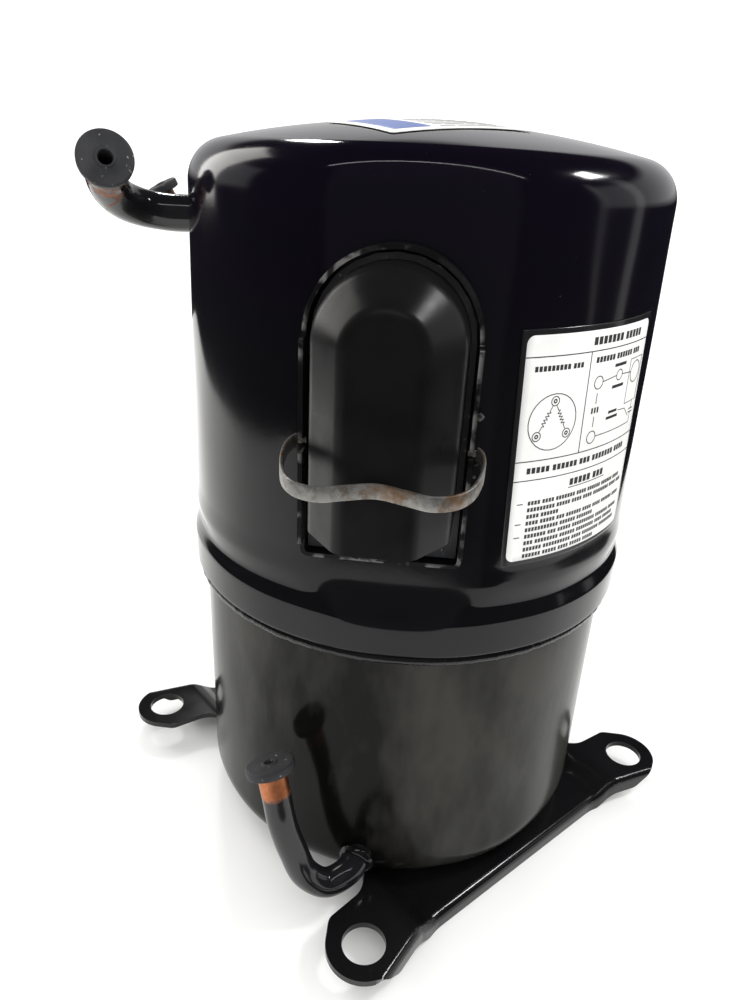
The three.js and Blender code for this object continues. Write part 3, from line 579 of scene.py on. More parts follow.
COPPER = bare_metal("drawn_copper", (0.35, 0.13, 0.06), (0.55, 0.22, 0.1), (0.2, 0.4))
VARNISHED = bare_metal("varnished_wire", (0.16, 0.03, 0.01), (0.34, 0.09, 0.03), (0.25, 0.45), grain=1400,
                       metallic=0.5, stretch=(1, 1, 0.3), height=0.3)
BLUED_WIRE = bare_metal("spring_wire", (0.09, 0.095, 0.105), (0.16, 0.165, 0.18), (0.2, 0.38))
PHENOLIC = bare_metal("phenolic_case", (0.014, 0.014, 0.015), (0.026, 0.026, 0.028), (0.35, 0.5),
                      metallic=0.0)


def piece(name, mesh, body, material, slot, *nodes):
    """A finished mesh as a piece that rides on a body and stands for CAD nodes."""
    mesh.name = name
    mesh.materials.clear()
    mesh.materials.append(material)
    holder = bpy.data.objects.new(name, mesh)
    bpy.context.scene.collection.objects.link(holder)
    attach(holder, body)
    if nodes:
        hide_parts(*nodes)


# ---------- housing ----------
def wall_radius(z):
    share = (z - WALL_START_Z) / (SHOULDER_Z - WALL_START_Z)
    return WALL_START_R + (SHOULDER_R - WALL_START_R) * share


def crown_z(r):
    return DOME_CENTRE_Z + math.sqrt(DOME_R ** 2 - r ** 2)


def flat_y(z):
    """The flat panel's front face, scooped out to the band at its foot and rounded off at its top."""
    plane = -math.sqrt(wall_radius(z) ** 2 - FLAT_HALF_W ** 2)
    if z < FLAT_FOOT_Z[1]:
        share = min(1.0, (FLAT_FOOT_Z[1] - z) / (FLAT_FOOT_Z[1] - FLAT_FOOT_Z[0]))
        return plane - (BAND_R + 2 + plane) * share ** 2.6
    if z > FLAT_TOP_Z:
        share = min(1.0, (z - FLAT_TOP_Z) / FLAT_TOP_ROUND[1])
        return plane + FLAT_TOP_ROUND[0] * (1 - math.sqrt(1 - share ** 2))
    return plane


def soft_max(a, b, softness):
    overlap = max(softness - abs(a - b), 0.0) / softness
    return max(a, b) + overlap ** 2 * softness / 4


def pressed_flat(point, inset):
    """Pushes the round housing back to its flat panel."""
    if point.y > 0 or math.hypot(point.x, point.y) < KNUCKLE_CENTRE_R - 8:
        return point
    return Vector((point.x, soft_max(point.y, flat_y(point.z) + inset, CREASE), point.z))


def upper_profile(inset):
    """Radius and height from the seam to the middle of the crown."""
    crown_edge = math.degrees(math.atan2(SHOULDER_Z - DOME_CENTRE_Z, KNUCKLE_CENTRE_R))
    knuckle = arc((KNUCKLE_CENTRE_R, SHOULDER_Z), DOME_KNUCKLE_R - inset, 0, crown_edge, 12)
    crown = [Vector((r, crown_z(r) - inset)) for r in (78, 74, 70, 66, 60, 52, 42, 30, 16, 0)]
    if inset:
        foot = [Vector((LOWER_R + FIT_GAP, SEAM_Z + 0.6)), Vector((LOWER_R + FIT_GAP, BAND_TOP_Z - 0.5))]
    else:
        foot = rounded([
            (LOWER_R + FIT_GAP, SEAM_Z + 0.6, 0), (LOWER_R + FIT_GAP + 0.6, SEAM_Z, 0.4),
            (BAND_R - 0.2, SEAM_Z, 1.6), (BAND_R, BAND_TOP_Z, 3.2), (NECK_R, NECK_Z, 5), (103.2, 166, 12),
            (wall_radius(174), 174, 0),
        ], step=10)
    wall = [Vector((wall_radius(z) - inset, z)) for z in (180, 200, 225, 250, 275, 295)]
    return subdivided([*foot, *wall, *knuckle], 2.2) + crown


def wavy(rows, squeeze, size, amount):
    """Rings moved in and out a little. `squeeze` draws the waves out along Z."""
    return [[
        v + Vector((v.x, v.y, 0)).normalized() * wobble(Vector((v.x, v.y, squeeze * v.z)), size, amount)
        for v in row
    ] for row in rows]


def upper_housing():
    outside, inside = (
        [[pressed_flat(v, inset) for v in row] for row in revolved(upper_profile(inset), 288)]
        for inset in (0, SHEET)
    )
    rows = wavy(outside, 0.5, 30, 0.45) + inside[::-1]
    return solid(*grid(rows, closed=True), 60)


def lower_profile(inset):
    """Radius and height from the middle of the boss to the rim."""
    centre = (LOWER_R - LOWER_KNUCKLE_R, BOSS_RISE + LOWER_KNUCKLE_R)
    knuckle = arc(centre, LOWER_KNUCKLE_R - inset, -90, 0, 10)
    bottom = rounded([
        (0, inset, 0), (BOSS_R - inset, inset, 3), (BOSS_R + 6 - inset, BOSS_RISE + inset, 3),
        (centre[0], BOSS_RISE + inset, 0),
    ])
    return [*bottom[:-1], *knuckle, Vector((LOWER_R - inset, LOWER_TOP_Z))]


def lower_housing():
    outside, inside = (revolved(subdivided(lower_profile(inset), 3), 240) for inset in (0, SHEET))
    rows = wavy(outside, 0.4, 38, 0.5) + inside[::-1]
    return solid(*grid(rows), 60)


def seam_bead():
    """The rippled weld under the band."""
    centre_r, centre_z, steps = LOWER_R + 1.3, SEAM_Z - 2.5, 900
    rows = []
    for k in range(steps):
        angle = 2 * math.pi * k / steps
        spot = Vector((math.sin(angle), -math.cos(angle), 0))
        ripple = 0.1 * math.sin(k * 2.1) + wobble(spot * 100, 3.5, 0.35)
        section = arc((0, 0), 2.4 + ripple, 0, 324, 9)
        rows.append([spot * (centre_r + a) + Vector((0, 0, centre_z + b)) for a, b in section])
    return solid(*grid(rows, closed=True), 80)


piece("upper_housing", upper_housing(), "root", UPPER_PAINT, "black_paint", "upper_shell")
piece("lower_housing", lower_housing(), "root", LOWER_PAINT, "black_paint", "lower_shell")
piece("seam_weld", seam_bead(), "root", RAIL_PAINT, "black_paint", "seam_weld_bead")


# ---------- mounting rails ----------
WELD_R = 92.0
WELD_SIZE = 2.6
WELD_STEPS = 30


def smooth_share(value, low, high):
    share = min(max((value - low) / (high - low), 0.0), 1.0)
    return share * share * (3 - 2 * share)


def rail_top(u):
    """Height of the plate: low under the housing, joggled up to the ears."""
    return RAIL_TOP_Z + EAR_RISE * smooth_share(abs(u), FOOT_HALF_PITCH - 36, FOOT_HALF_PITCH - 20)


def rail_fold(u):
    """Where the plate starts to turn down into its flange."""
    face = -RAIL_FACE - 2.5 * smooth_share(abs(u), FOOT_HALF_PITCH - 40, FOOT_HALF_PITCH - 24)
    return face - 0.3 * max(0.0, abs(u) - (FOOT_HALF_PITCH - 26)) + RAIL_FOLD_R


def rail_sheet(quarter_turns):
    """The plate is cut flat as (u, v) with its eyes, then folded into its flange and joggled."""
    eye = FOOT_HALF_PITCH
    stops = (
        (0, FLANGE_DEPTH, 0), (eye - 40, FLANGE_DEPTH, 0), (eye - 20, FLANGE_DEPTH + 1, 0),
        (eye - 8, FLANGE_DEPTH + 1, 4), (eye + 0.5, 4.2, 2),
    )
    flange = [(u, rail_fold(u) - depth, radius) for u, depth, radius in stops]
    tip = [(u, v, 0) for u, v in arc((eye, -eye), EAR_R, -70, 45, 16)]
    inner = [
        (eye + 5, -eye + 18.5, 6), (eye - 15, -eye + 20.5, 12), (eye - 32, -RAIL_INNER, 10),
        (0, -RAIL_INNER, 0),
    ]
    right = [*flange, *tip, *inner]
    left = [(-u, v, radius) for u, v, radius in reversed(right[1:-1])]
    outline = subdivided(rounded([*right, *left], closed=True), 4)
    holes = [arc((side * eye, -eye), FOOT_HOLE_R, 0, 352.5, 47) for side in (1, -1)]
    straight = [[(u, v - rail_fold(u)) for u, v in loop] for loop in (outline, *holes)]

    ramp = [eye - 44 + 2 * k for k in range(15)]
    u_cuts = [side * u for u in (*ramp, 14, 28, 42, eye, eye + 8) for side in (1, -1)]
    turn = RAIL_FOLD_R * math.pi / 2
    v_cuts = [-turn * k / 5 for k in range(6)] + [6, 14, 24, 34]
    form = filled(straight, u_cuts, v_cuts)
    spin = Matrix.Rotation(math.radians(45 + 90 * quarter_turns), 4, "Z")
    for vertex in form.verts:
        u, across, _ = vertex.co
        beyond = max(0.0, -across)
        angle = min(beyond, turn) / RAIL_FOLD_R
        v = rail_fold(u) + max(0.0, across) - RAIL_FOLD_R * math.sin(angle)
        z = rail_top(u) - RAIL_FOLD_R * (1 - math.cos(angle)) - max(0.0, beyond - turn)
        vertex.co = spin @ Vector((u, v, z))
    return sheet_metal(faced(cleaned(form), lambda centre: UP), SHEET, 0.55)


def weld_ring(angle, share):
    """The lumpy section of a rail weld at an angle round the housing. It fades at both ends."""
    z = rail_top(WELD_R * math.sin(angle)) + 1.4
    reach = math.sqrt(LOWER_KNUCKLE_R ** 2 - (BOSS_RISE + LOWER_KNUCKLE_R - z) ** 2)
    r = LOWER_R - LOWER_KNUCKLE_R + reach + 0.6
    point = Vector((r * math.sin(angle), -r * math.cos(angle), z))
    lumps = WELD_SIZE + 0.5 * math.sin(share * WELD_STEPS * 2.4) + wobble(point, 4, 1.0)
    size = lumps * (0.4 + math.sin(math.pi * share)) / 1.4
    outward = Vector((point.x, point.y, 0)).normalized()
    return [point + outward * a + Vector((0, 0, b)) for a, b in arc((0, 0), size, 0, 315, 7)]


def rail_welds(quarter_turns):
    """Fillets where the housing sits on the joggled ends of a rail."""
    spin = Matrix.Rotation(math.radians(45 + 90 * quarter_turns), 4, "Z")
    vertices, faces = [], []
    for start, end in ((-42, -26), (26, 42)):
        rings = []
        for k in range(WELD_STEPS + 1):
            share = k / WELD_STEPS
            ring = weld_ring(math.radians(start + (end - start) * share), share)
            rings.append([spin @ point for point in ring])
        points, sides = capped(rings)
        faces += [tuple(i + len(vertices) for i in side) for side in sides]
        vertices += points
    return solid(vertices, faces, 80)


for side, turns in (("front", 0), ("rear", 2)):
    piece(f"{side}_rail", rail_sheet(turns), "root", RAIL_PAINT, "black_paint", f"{side}_mounting_rail")
    piece(f"{side}_rail_welds", rail_welds(turns), "root", RAIL_PAINT, "black_paint")


# ---------- terminal box ----------
def arch_outline(half_w, bottom_z, arch_z):
    """Closed arch in X and Z, from the middle of its foot, with the same points at every width."""
    foot = [Vector((half_w * k / 6, bottom_z)) for k in range(6)]
    side = [Vector((half_w, bottom_z)).lerp(Vector((half_w, arch_z)), k / 20) for k in range(20)]
    right = [*foot, *side, *arc((0, arch_z), half_w, 0, 90, 24)]
    left = [Vector((-p.x, p.y)) for p in reversed(right[1:-1])]
    return [Vector((TERM_X + p.x, p.y)) for p in right + left]


def terminal_cover():
    profile = subdivided(rounded([
        (COVER_HALF_W, COVER_BACK_Y, 0), (*COVER_SHOULDER, 9), (COVER_FACE_HALF_W, COVER_FRONT_Y, 7),
        (5, COVER_FRONT_Y, 0),
    ], step=8), 4)
    rows = []
    for half_w, y in profile:
        lift = COVER_ARCH_RISE * (COVER_BACK_Y - y) / (COVER_BACK_Y - COVER_FRONT_Y)
        outline = arch_outline(half_w, COVER_BOTTOM_Z, COVER_ARCH_Z + lift)
        rows.append([Vector((p.x, y, p.y)) for p in outline])
    vertices, faces = grid(rows)
    faces.append(tuple(range(len(vertices) - len(rows[0]), len(vertices))))
    return sheet_metal(solid(vertices, faces, 50), COVER_SHEET, 0.5)


def terminal_fence():
    """A strip wrapped round the arch: high side walls with strap notches, a lower arch and a low sill."""
    half, bottom = FENCE_HALF_W, FENCE_BOTTOM_Z
    path = rounded([(0, bottom, 0), (half, bottom, 3), (half, FENCE_ARCH_Z, 0)])
    right = path + arc((0, FENCE_ARCH_Z), half, 0, 90, 30)[1:]
    loop = right + [Vector((-p.x, p.y)) for p in reversed(right[:-1])]
    at, length = along(loop)
    side_foot = half + 6
    side_top = half + (FENCE_ARCH_Z - bottom) - 1.5
    notch = half + (STRAP_PIVOT.z - bottom) - 1.2
    notch_start, notch_end = notch - NOTCH_HALF_W, notch + NOTCH_HALF_W
    sill_y, arch_y, side_y = FENCE_FRONT_Y + FENCE_SILL_DROP, FENCE_FRONT_Y + FENCE_ARCH_DROP, FENCE_FRONT_Y
    notch_y = STRAP_PIVOT.y + 2
    half_front = [
        (0, sill_y, 0), (side_foot, sill_y, 1), (side_foot, side_y, 1.2),
        (notch_start, side_y, 0.8), (notch_start, notch_y, 1.2), (notch_end, notch_y, 1.2),
        (notch_end, side_y, 0.8), (side_top, side_y, 1.2), (side_top, arch_y, 1), (length / 2, arch_y, 0),
    ]
    other = [(length - s, y, radius) for s, y, radius in reversed(half_front[:-1])]
    outline = rounded([*half_front, *other, (length, FENCE_BACK_Y, 0), (0, FENCE_BACK_Y, 0)], closed=True)
    steps = 160
    form = filled([outline], [length * k / steps for k in range(1, steps)], [-100])
    for vertex in form.verts:
        spot = at(vertex.co.x)
        vertex.co = Vector((TERM_X + spot.x, vertex.co.y, spot.y))
    middle = Vector((TERM_X, -100, 230)) * MM
    skin = faced(cleaned(form), lambda centre: centre - middle)
    return sheet_metal(skin, FENCE_SHEET, 0.35)


def bail_strap():
    """A strip bent round the cover, with its narrow ends hooked into the fence."""
    other_half = [(-x, y) for x, y in reversed(STRAP_HALF_LOOP[:-1])]
    path = catmull_rom([(TERM_X + x, y, 0) for x, y in (*STRAP_HALF_LOOP, *other_half)], 9)
    hooks = Vector((-3.2, 0.6, 0)), Vector((3.2, 0.6, 0))
    first = [path[0] + hooks[0] * share for share in (1, 0.5)]
    last = [path[-1] + hooks[1] * share for share in (0.5, 1)]
    path = [*first, *path, *last]
    half_t, half_w, edge = STRAP_T / 2, STRAP_W / 2, 0.45
    band = rounded([
        (-half_t, -half_w, edge), (half_t, -half_w, edge), (half_t, half_w, edge), (-half_t, half_w, edge),
    ], closed=True, step=30)

    def section(share):
        narrow = 0.45 if share < 0.02 or share > 0.98 else 1.0
        return [(a, b * narrow) for a, b in band]

    mesh = swept(path, section)
    tilt = Matrix.Rotation(STRAP_TILT, 4, "X")
    drawn_pivot = Vector((0, STRAP_PIVOT.y, 0))
    mesh.transform(Matrix.Translation(STRAP_PIVOT * MM) @ tilt @ Matrix.Translation(-drawn_pivot * MM))
    return mesh


piece("terminal_cover_shell", terminal_cover(), "cover", COVER_PAINT, "black_sheet", "terminal_cover")
piece("terminal_fence_strip", terminal_fence(), "root", FENCE_PAINT, "black_sheet", "terminal_fence")
piece("bail_strap", bail_strap(), "strap", ZINC, "zinc", "cover_bail_strap")


SPATTER_R = 1.0


def blobs(places):
    """Small frozen drops of weld spatter."""
    form = bmesh.new()
    for index, place in enumerate(places):
        seed = Vector((index * 7.3, 1.7, 3.1))
        radius = SPATTER_R * (1 + noise.noise(seed) * 0.8)
        made = bmesh.ops.create_icosphere(form, subdivisions=2, radius=radius)
        for vertex in made["verts"]:
            lump = 1 + noise.noise(vertex.co * 0.9 + seed) * 0.7
            vertex.co = Vector(place) + Vector((vertex.co.x * lump, vertex.co.y * 0.7, vertex.co.z * lump))
    return cleaned(form, 180)


def spatter_places():
    places = []
    for cluster, (x, z, count) in enumerate(((-24, FENCE_BOTTOM_Z - 0.4, 7), (8, FENCE_BOTTOM_Z - 0.2, 8))):
        for k in range(count):
            jitter = noise.noise(Vector((cluster * 5.1, k * 2.3, 0.4)))
            places.append((TERM_X + x + k * 1.7, flat_y(z) - 0.3, z - 0.6 + jitter * 2.2))
    for z in (236, 219, 214):
        places.append((TERM_X + FENCE_HALF_W + 1.3, flat_y(z) - 4, z))
    return places


piece("weld_spatter", blobs(spatter_places()), "root", FENCE_PAINT, "black_sheet")


# ---------- tubes and plugs ----------
def frames(path):
    """Side and up directions carried along a path without twist."""
    ahead = [(path[min(i + 1, len(path) - 1)] - path[max(i - 1, 0)]).normalized() for i in range(len(path))]
    side = ahead[0].orthogonal().normalized()
    found = []
    for direction in ahead:
        side = (side - direction * side.dot(direction)).normalized()
        found.append((side, direction.cross(side)))
    return found


def tube(route, outer, wall, bare_length, sides):
    """A bent tube, open at both ends, that knows how far each point is from its end."""
    path = catmull_rom(route, 10)
    turns = [2 * math.pi * k / sides for k in range(sides)]
    outside, inside = [], []
    for point, (side, up) in zip(path, frames(path)):
        directions = [side * math.cos(a) + up * math.sin(a) for a in turns]
        for rings, radius in ((outside, outer), (inside, outer - wall)):
            rings.append([point + direction * (radius + wobble(point, 9, 0.12)) for direction in directions])
    mesh = solid(*grid(outside + inside[::-1], closed=True), 50)
    end = path[-1] * MM
    bare = mesh.attributes.new("bare", "FLOAT", "POINT")
    for vertex, value in zip(mesh.vertices, bare.data):
        distance = (vertex.co - end).length / MM
        value.value = min(1.0, max(0.0, 0.5 + (bare_length - distance) / (2 * bare_length)))
    return mesh


def end_place(route, distance_back=0.0):
    """Stands a solid drawn along Z on the tube's end, or as far back along it as given."""
    at, length = along(catmull_rom(route, 10))
    here, behind = at(length - distance_back), at(length - distance_back - 0.6)
    direction = (here - behind).normalized()
    return Matrix.Translation(here) @ direction.to_track_quat("Z", "Y").to_matrix().to_4x4()


def start_place(route, distance):
    _, length = along(catmull_rom(route, 10))
    return end_place(route, length - distance)


def plug(route, stem_r, stem_length, flange_r, flange_t, vent_r):
    """A shipping plug: a stem in the tube, a flange against its end, and a lipped vent hole through both."""
    lip = flange_t + 0.5
    profile = rounded([
        (vent_r, -stem_length, 0), (stem_r - 0.4, -stem_length, 0.5), (stem_r, FIT_GAP, 0.6),
        (flange_r - 0.2, FIT_GAP, 0.7), (flange_r, flange_t, 1.1), (vent_r + 1.5, flange_t, 0.3),
        (vent_r + 1.1, lip, 0.3), (vent_r + 0.2, lip, 0.3), (vent_r, flange_t - 1, 0.3),
        (vent_r, -stem_length, 0),
    ], step=18)
    vertices, faces = grid(revolved(profile[:-1], 56), closed=True)
    place = end_place(route)
    return solid([place @ v for v in vertices], faces)


def collar(route, distance, tube_r, width):
    """A lumpy weld ring where a tube leaves the housing."""
    bore, back = tube_r + 0.05, -0.6
    profile = rounded([
        (bore, back, 0), (tube_r + width, back, 0.8), (tube_r + width * 0.55, 1.9, 1.4), (bore, 2.8, 0.5),
        (bore, back, 0),
    ], step=15)
    place = start_place(route, distance)
    rows = [[place @ (v * (1 + wobble(v, 3, 0.035))) for v in row] for row in revolved(profile[:-1], 48)]
    return solid(*grid(rows, closed=True), 80)


TUBES = (  # name, route, radius, wall, length left bare of paint, sides, finish
    ("suction", SUCTION_ROUTE, SUCTION_R, 1.2, 17, 40, SUCTION_FINISH),
    ("discharge", DISCHARGE_ROUTE, DISCHARGE_R, 1.1, 12, 40, DISCHARGE_FINISH),
    ("process", PROCESS_ROUTE, PROCESS_R, 0.9, 5, 28, SUCTION_FINISH),
)
PLUGS = (  # name, route, stem radius and length, flange radius and thickness, vent radius
    ("suction", SUCTION_ROUTE, 6.4, 9, 11, 4.2, 2.75),
    ("discharge", DISCHARGE_ROUTE, 4.9, 8, 10.8, 4.2, 2.0),
    ("process", PROCESS_ROUTE, 2.4, 4.5, 7.5, 4, 1.2),
)
COLLARS = (  # name, route, distance along it, tube radius, width of the weld
    ("suction", SUCTION_ROUTE, 11.4, SUCTION_R, 3.4),
    ("discharge", DISCHARGE_ROUTE, 10.2, DISCHARGE_R, 2.6),
)
for name, *sizes, finish in TUBES:
    piece(f"{name}_stub", tube(*sizes), "root", finish, "black_paint", f"{name}_tube")
for name, *sizes in PLUGS:
    piece(f"{name}_end_plug", plug(*sizes), f"{name}_plug", RUBBER, "rubber", f"{name}_plug")
for name, *sizes in COLLARS:
    piece(f"{name}_weld_ring", collar(*sizes), "root", RAIL_PAINT, "black_paint", f"{name}_collar")


# ---------- labels ----------
LABEL_MID_Z = (label_low.z + label_high.z) / 2
LABEL_H = label_high.z - label_low.z
LABEL_MID_ANGLE = math.radians(-47.25)
LABEL_W = 72.0
LABEL_TURN = math.radians(1.2)
LABEL_BORDER = 2.0
PRINT_LIFT = 0.46
PRINT_T = 0.05
TOP_LABEL = (62.0, 44.0)
TOP_LABEL_CORNER = (-10.8, -75.2)
TOP_LABEL_TURN = math.radians(38.5)


def on_wall(u, v, lift):
    """A point of the wiring label, from its middle, laid on the housing wall."""
    turned_u = u * math.cos(LABEL_TURN) - v * math.sin(LABEL_TURN)
    turned_v = u * math.sin(LABEL_TURN) + v * math.cos(LABEL_TURN)
    z = LABEL_MID_Z + turned_v
    r = wall_radius(z)
    angle = LABEL_MID_ANGLE + turned_u / r
    return Vector((math.cos(angle), math.sin(angle), 0)) * (r + lift) + Vector((0, 0, z))


def rectangle(half_w, half_h, radius):
    signs = ((-1, -1), (1, -1), (1, 1), (-1, 1))
    return rounded([(half_w * a, half_h * b, radius) for a, b in signs], closed=True)


def laid_sheet(outline, surface, lift, thickness):
    """A thin closed sheet on a curved surface, given as surface(u, v, lift)."""
    low = Vector(min(p[axis] for p in outline) for axis in (0, 1))
    high = Vector(max(p[axis] for p in outline) for axis in (0, 1))
    u_cuts = [low.x + (high.x - low.x) * k / 24 for k in range(1, 24)]
    v_cuts = [low.y + (high.y - low.y) * k / 16 for k in range(1, 16)]
    form = filled([outline], u_cuts, v_cuts)
    for vertex in form.verts:
        vertex.co = surface(vertex.co.x, vertex.co.y, lift + thickness)
    inside = Vector((0, 0, DOME_CENTRE_Z * MM * 0.5))
    mesh = faced(cleaned(form), lambda centre: centre - inside)
    return modified(mesh, [("SOLIDIFY", {"thickness": thickness * MM, "offset": -1})])


class Print:
    """Ink strokes on a label, gathered into one mesh of thin raised bars."""

    def __init__(self, surface):
        self.surface = surface
        self.vertices, self.faces = [], []

    def bar(self, start, end, width):
        start, end = Vector(start), Vector(end)
        across = (end - start).orthogonal().normalized() * width / 2
        steps = max(1, math.ceil((end - start).length / 6))
        first = len(self.vertices)
        for k in range(steps + 1):
            middle = start.lerp(end, k / steps)
            for side, lift in ((1, 0), (-1, 0), (-1, 1), (1, 1)):
                spot = middle + across * side
                self.vertices.append(self.surface(spot.x, spot.y, PRINT_LIFT + lift * PRINT_T))
        for k in range(steps):
            a, b = first + 4 * k, first + 4 * (k + 1)
            self.faces += [(a + i, a + (i + 1) % 4, b + (i + 1) % 4, b + i) for i in range(4)]
        last = first + 4 * steps
        self.faces += [(first, first + 1, first + 2, first + 3), (last + 3, last + 2, last + 1, last)]

    def line(self, points, width=0.35):
        for a, b in zip(points, points[1:]):
            self.bar(a, b, width)

    def ring(self, centre, radius, width=0.35):
        self.line(arc(centre, radius, 0, 360, 28), width)

    def zigzag(self, start, end, size, teeth):
        start, end = Vector(start), Vector(end)
        across = (end - start).orthogonal().normalized() * size
        points = [start, start.lerp(end, 0.2)]
        points += [start.lerp(end, 0.2 + 0.6 * (k + 0.5) / teeth) + across * (-1) ** k for k in range(teeth)]
        self.line([*points, start.lerp(end, 0.8), end], 0.3)

    def words(self, left, right, v, height, seed):
        """A row of small blocks in groups that stands in for a line of print."""
        block, space = 0.66 * height, 0.24 * height
        u, index = left, 0
        while u < right - 3 * block:
            count = 3 + round(10 * abs(noise.noise(Vector((seed * 3.7, index * 1.9, 0.5)))))
            for _ in range(count):
                if u + block < right:
                    self.bar((u, v), (u + block, v), height)
                u += block + space
            u, index = u + 2 * space, index + 1

    def mesh(self):
        form = bmesh.new()
        made = [form.verts.new(v) for v in self.vertices]
        for face in self.faces:
            form.faces.new([made[i] for i in face])
        bmesh.ops.recalc_face_normals(form, faces=form.faces[:])
        for vertex in form.verts:
            vertex.co *= MM
        mesh = bpy.data.meshes.new("print")
        form.to_mesh(mesh)
        form.free()
        return mesh


def wiring_print():
    """A winding diagram, a circuit and rows of blocks in ruled fields."""
    half_w, half_h = LABEL_W / 2 - LABEL_BORDER, LABEL_H / 2 - LABEL_BORDER
    ink = Print(on_wall)
    header, diagram, accessory = half_h - 7.5, half_h - 45.5, half_h - 53
    divider = -half_w + 28.5
    for v in (header, diagram, accessory):
        ink.line([(-half_w, v), (half_w, v)], 0.4)
    ink.line([(divider, header), (divider, diagram)], 0.4)
    ink.words(-5, 26, half_h - 3.9, 2.8, 40)
    ink.words(-half_w + 4, divider - 2, header - 4.2, 1.9, 41)
    ink.words(divider + 3, half_w - 3, header - 3.4, 2.1, 42)
    windings(ink, Vector((-half_w + 14, header - 24)))
    circuit(ink, divider, half_w, header, diagram)

    ink.words(-half_w + 5, half_w - 4, (diagram + accessory) / 2, 2.3, 1)
    ink.words(-8, 14, accessory - 3.8, 2.7, 43)
    ink.bar((-8.5, accessory - 6), (13.5, accessory - 6), 0.35)
    short = {2: 0.32, 4: 0.62, 8: 0.7}  # rows that stop early, and how far they reach
    for row in range(9):
        v = accessory - 9.3 - 2.75 * row
        reach = -half_w + 7 + (2 * half_w - 10) * short.get(row, 1.0)
        ink.words(-half_w + 7, reach, v, 1.6, row + 4)
        if row in (0, 3, 5):
            ink.bar((-half_w + 2.4, v), (-half_w + 4.8, v), 0.4)
    return ink.mesh()


def windings(ink, middle):
    """Three pins in a circle, joined by two coils."""
    ink.ring(middle, 10.5)
    pins = [middle + Vector(offset) for offset in ((0, 7.8), (-6.6, -4.8), (6.6, -4.8))]
    for pin in pins:
        ink.ring(pin, 1.7)
        ink.ring(pin, 0.6, 0.5)
    for pin in pins[1:]:
        ink.zigzag(pins[0].lerp(pin, 0.14), pin.lerp(pins[0], 0.14), 0.8, 9)


def circuit(ink, divider, half_w, header, diagram):
    """Two supply lines, a contact, a motor in a box and a capacitor."""
    line_one, common = Vector((divider + 6, header - 12)), Vector((divider + 19, header - 11))
    line_two = Vector((divider + 6, diagram + 5))
    for centre, radius in ((line_one, 2.4), (common, 2.0), (line_two, 2.4), ((half_w - 7, header - 12), 4.2)):
        ink.ring(centre, radius)
    for rise in (4, -4.2):
        ink.bar(common + Vector((-4, rise)), common + Vector((4, rise)), 1.2)
    ink.line([line_one + Vector((2.4, 0)), common - Vector((2, 0))])
    ink.line([common + Vector((2, 0)), (half_w - 11.2, header - 11.6)])
    left, right, top, bottom = half_w - 12.5, half_w - 1.8, header - 6.5, header - 24
    ink.line([(left, top), (right, top), (right, bottom), (left, bottom), (left, top)], 0.3)
    plates = half_w - 5
    ink.line([line_two + Vector((2.4, 0)), (plates, diagram + 5), (plates, diagram + 9)])
    for rise in (9.2, 10.6):
        ink.bar((plates - 2, diagram + rise), (plates + 2, diagram + rise), 0.5)
    ink.line([(plates, diagram + 10.8), (plates, bottom)])
    ink.line([line_one - Vector((0, 4)), line_one - Vector((0, 8))])
    ink.line([line_two + Vector((0, 4)), line_two + Vector((0, 8))])
    for offset in (-1.6, 0, 1.6):
        ink.bar((line_one.x + offset, line_one.y - 9.4), (line_one.x + offset, line_two.y + 9.4), 0.9)
    ink.bar((divider + 15, diagram + 13), (divider + 21, diagram + 13), 1.1)
    ink.bar((divider + 14, diagram + 10.8), (divider + 22, diagram + 10.8), 1.1)
    ink.line([(divider + 22, diagram + 12.6), (divider + 28, diagram + 12), (half_w - 7, diagram + 8)], 0.3)


def on_crown(u, v, lift):
    """A point of the top label, from its near corner, laid on the crown."""
    x = TOP_LABEL_CORNER[0] + u * math.cos(TOP_LABEL_TURN) - v * math.sin(TOP_LABEL_TURN)
    y = TOP_LABEL_CORNER[1] + u * math.sin(TOP_LABEL_TURN) + v * math.cos(TOP_LABEL_TURN)
    return Vector((x, y, crown_z(math.hypot(x, y)) + lift))


def top_print():
    ink = Print(on_crown)
    for row in range(7):
        ink.words(24, 57, 6 + 4.6 * row, 1.3, 20 + row)
    return ink.mesh()


def add_labels():
    border = rectangle(LABEL_W / 2, LABEL_H / 2, 0.8)
    white = rectangle(LABEL_W / 2 - LABEL_BORDER, LABEL_H / 2 - LABEL_BORDER, 3)
    half_u, half_v = TOP_LABEL[0] / 2, TOP_LABEL[1] / 2
    sheet = [(u + half_u, v + half_v) for u, v in rectangle(half_u, half_v, 1.5)]
    block = [(u + 12, v + half_v) for u, v in rectangle(8, 17, 1)]
    layers = (  # name, mesh, material and the CAD node that it stands for
        ("wiring_label_film", laid_sheet(border, on_wall, 0.12, 0.18), BLACK_FILM, "wiring_label"),
        ("wiring_label_face", laid_sheet(white, on_wall, 0.3, 0.16), WHITE_FILM),
        ("wiring_label_print", wiring_print(), INK),
        ("top_label_face", laid_sheet(sheet, on_crown, 0.2, 0.26), WHITE_FILM, "top_label"),
        ("top_label_print", top_print(), INK),
        ("top_label_block", laid_sheet(block, on_crown, PRINT_LIFT, PRINT_T), BLUE_INK),
    )
    for name, mesh, material, *nodes in layers:
        piece(name, mesh, "root", material, "paper", *nodes)


add_labels()


# ---------- soft parts between the shell and the sprung pump ----------
CORNERS = ("front_left", "front_right", "rear_right", "rear_left")


def yielding(node_name, finish):
    """A copy, in the given finish, of a CAD node that stands on the shell with its top end at the pump; the
    node itself is hidden.
    """
    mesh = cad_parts[node_name].data.copy()
    mesh.materials.clear()
    mesh.materials.append(finish)
    holder = bpy.data.objects.new(f"{node_name}_yielding", mesh)
    bpy.context.scene.collection.objects.link(holder)
    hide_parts(node_name)
    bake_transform(holder)


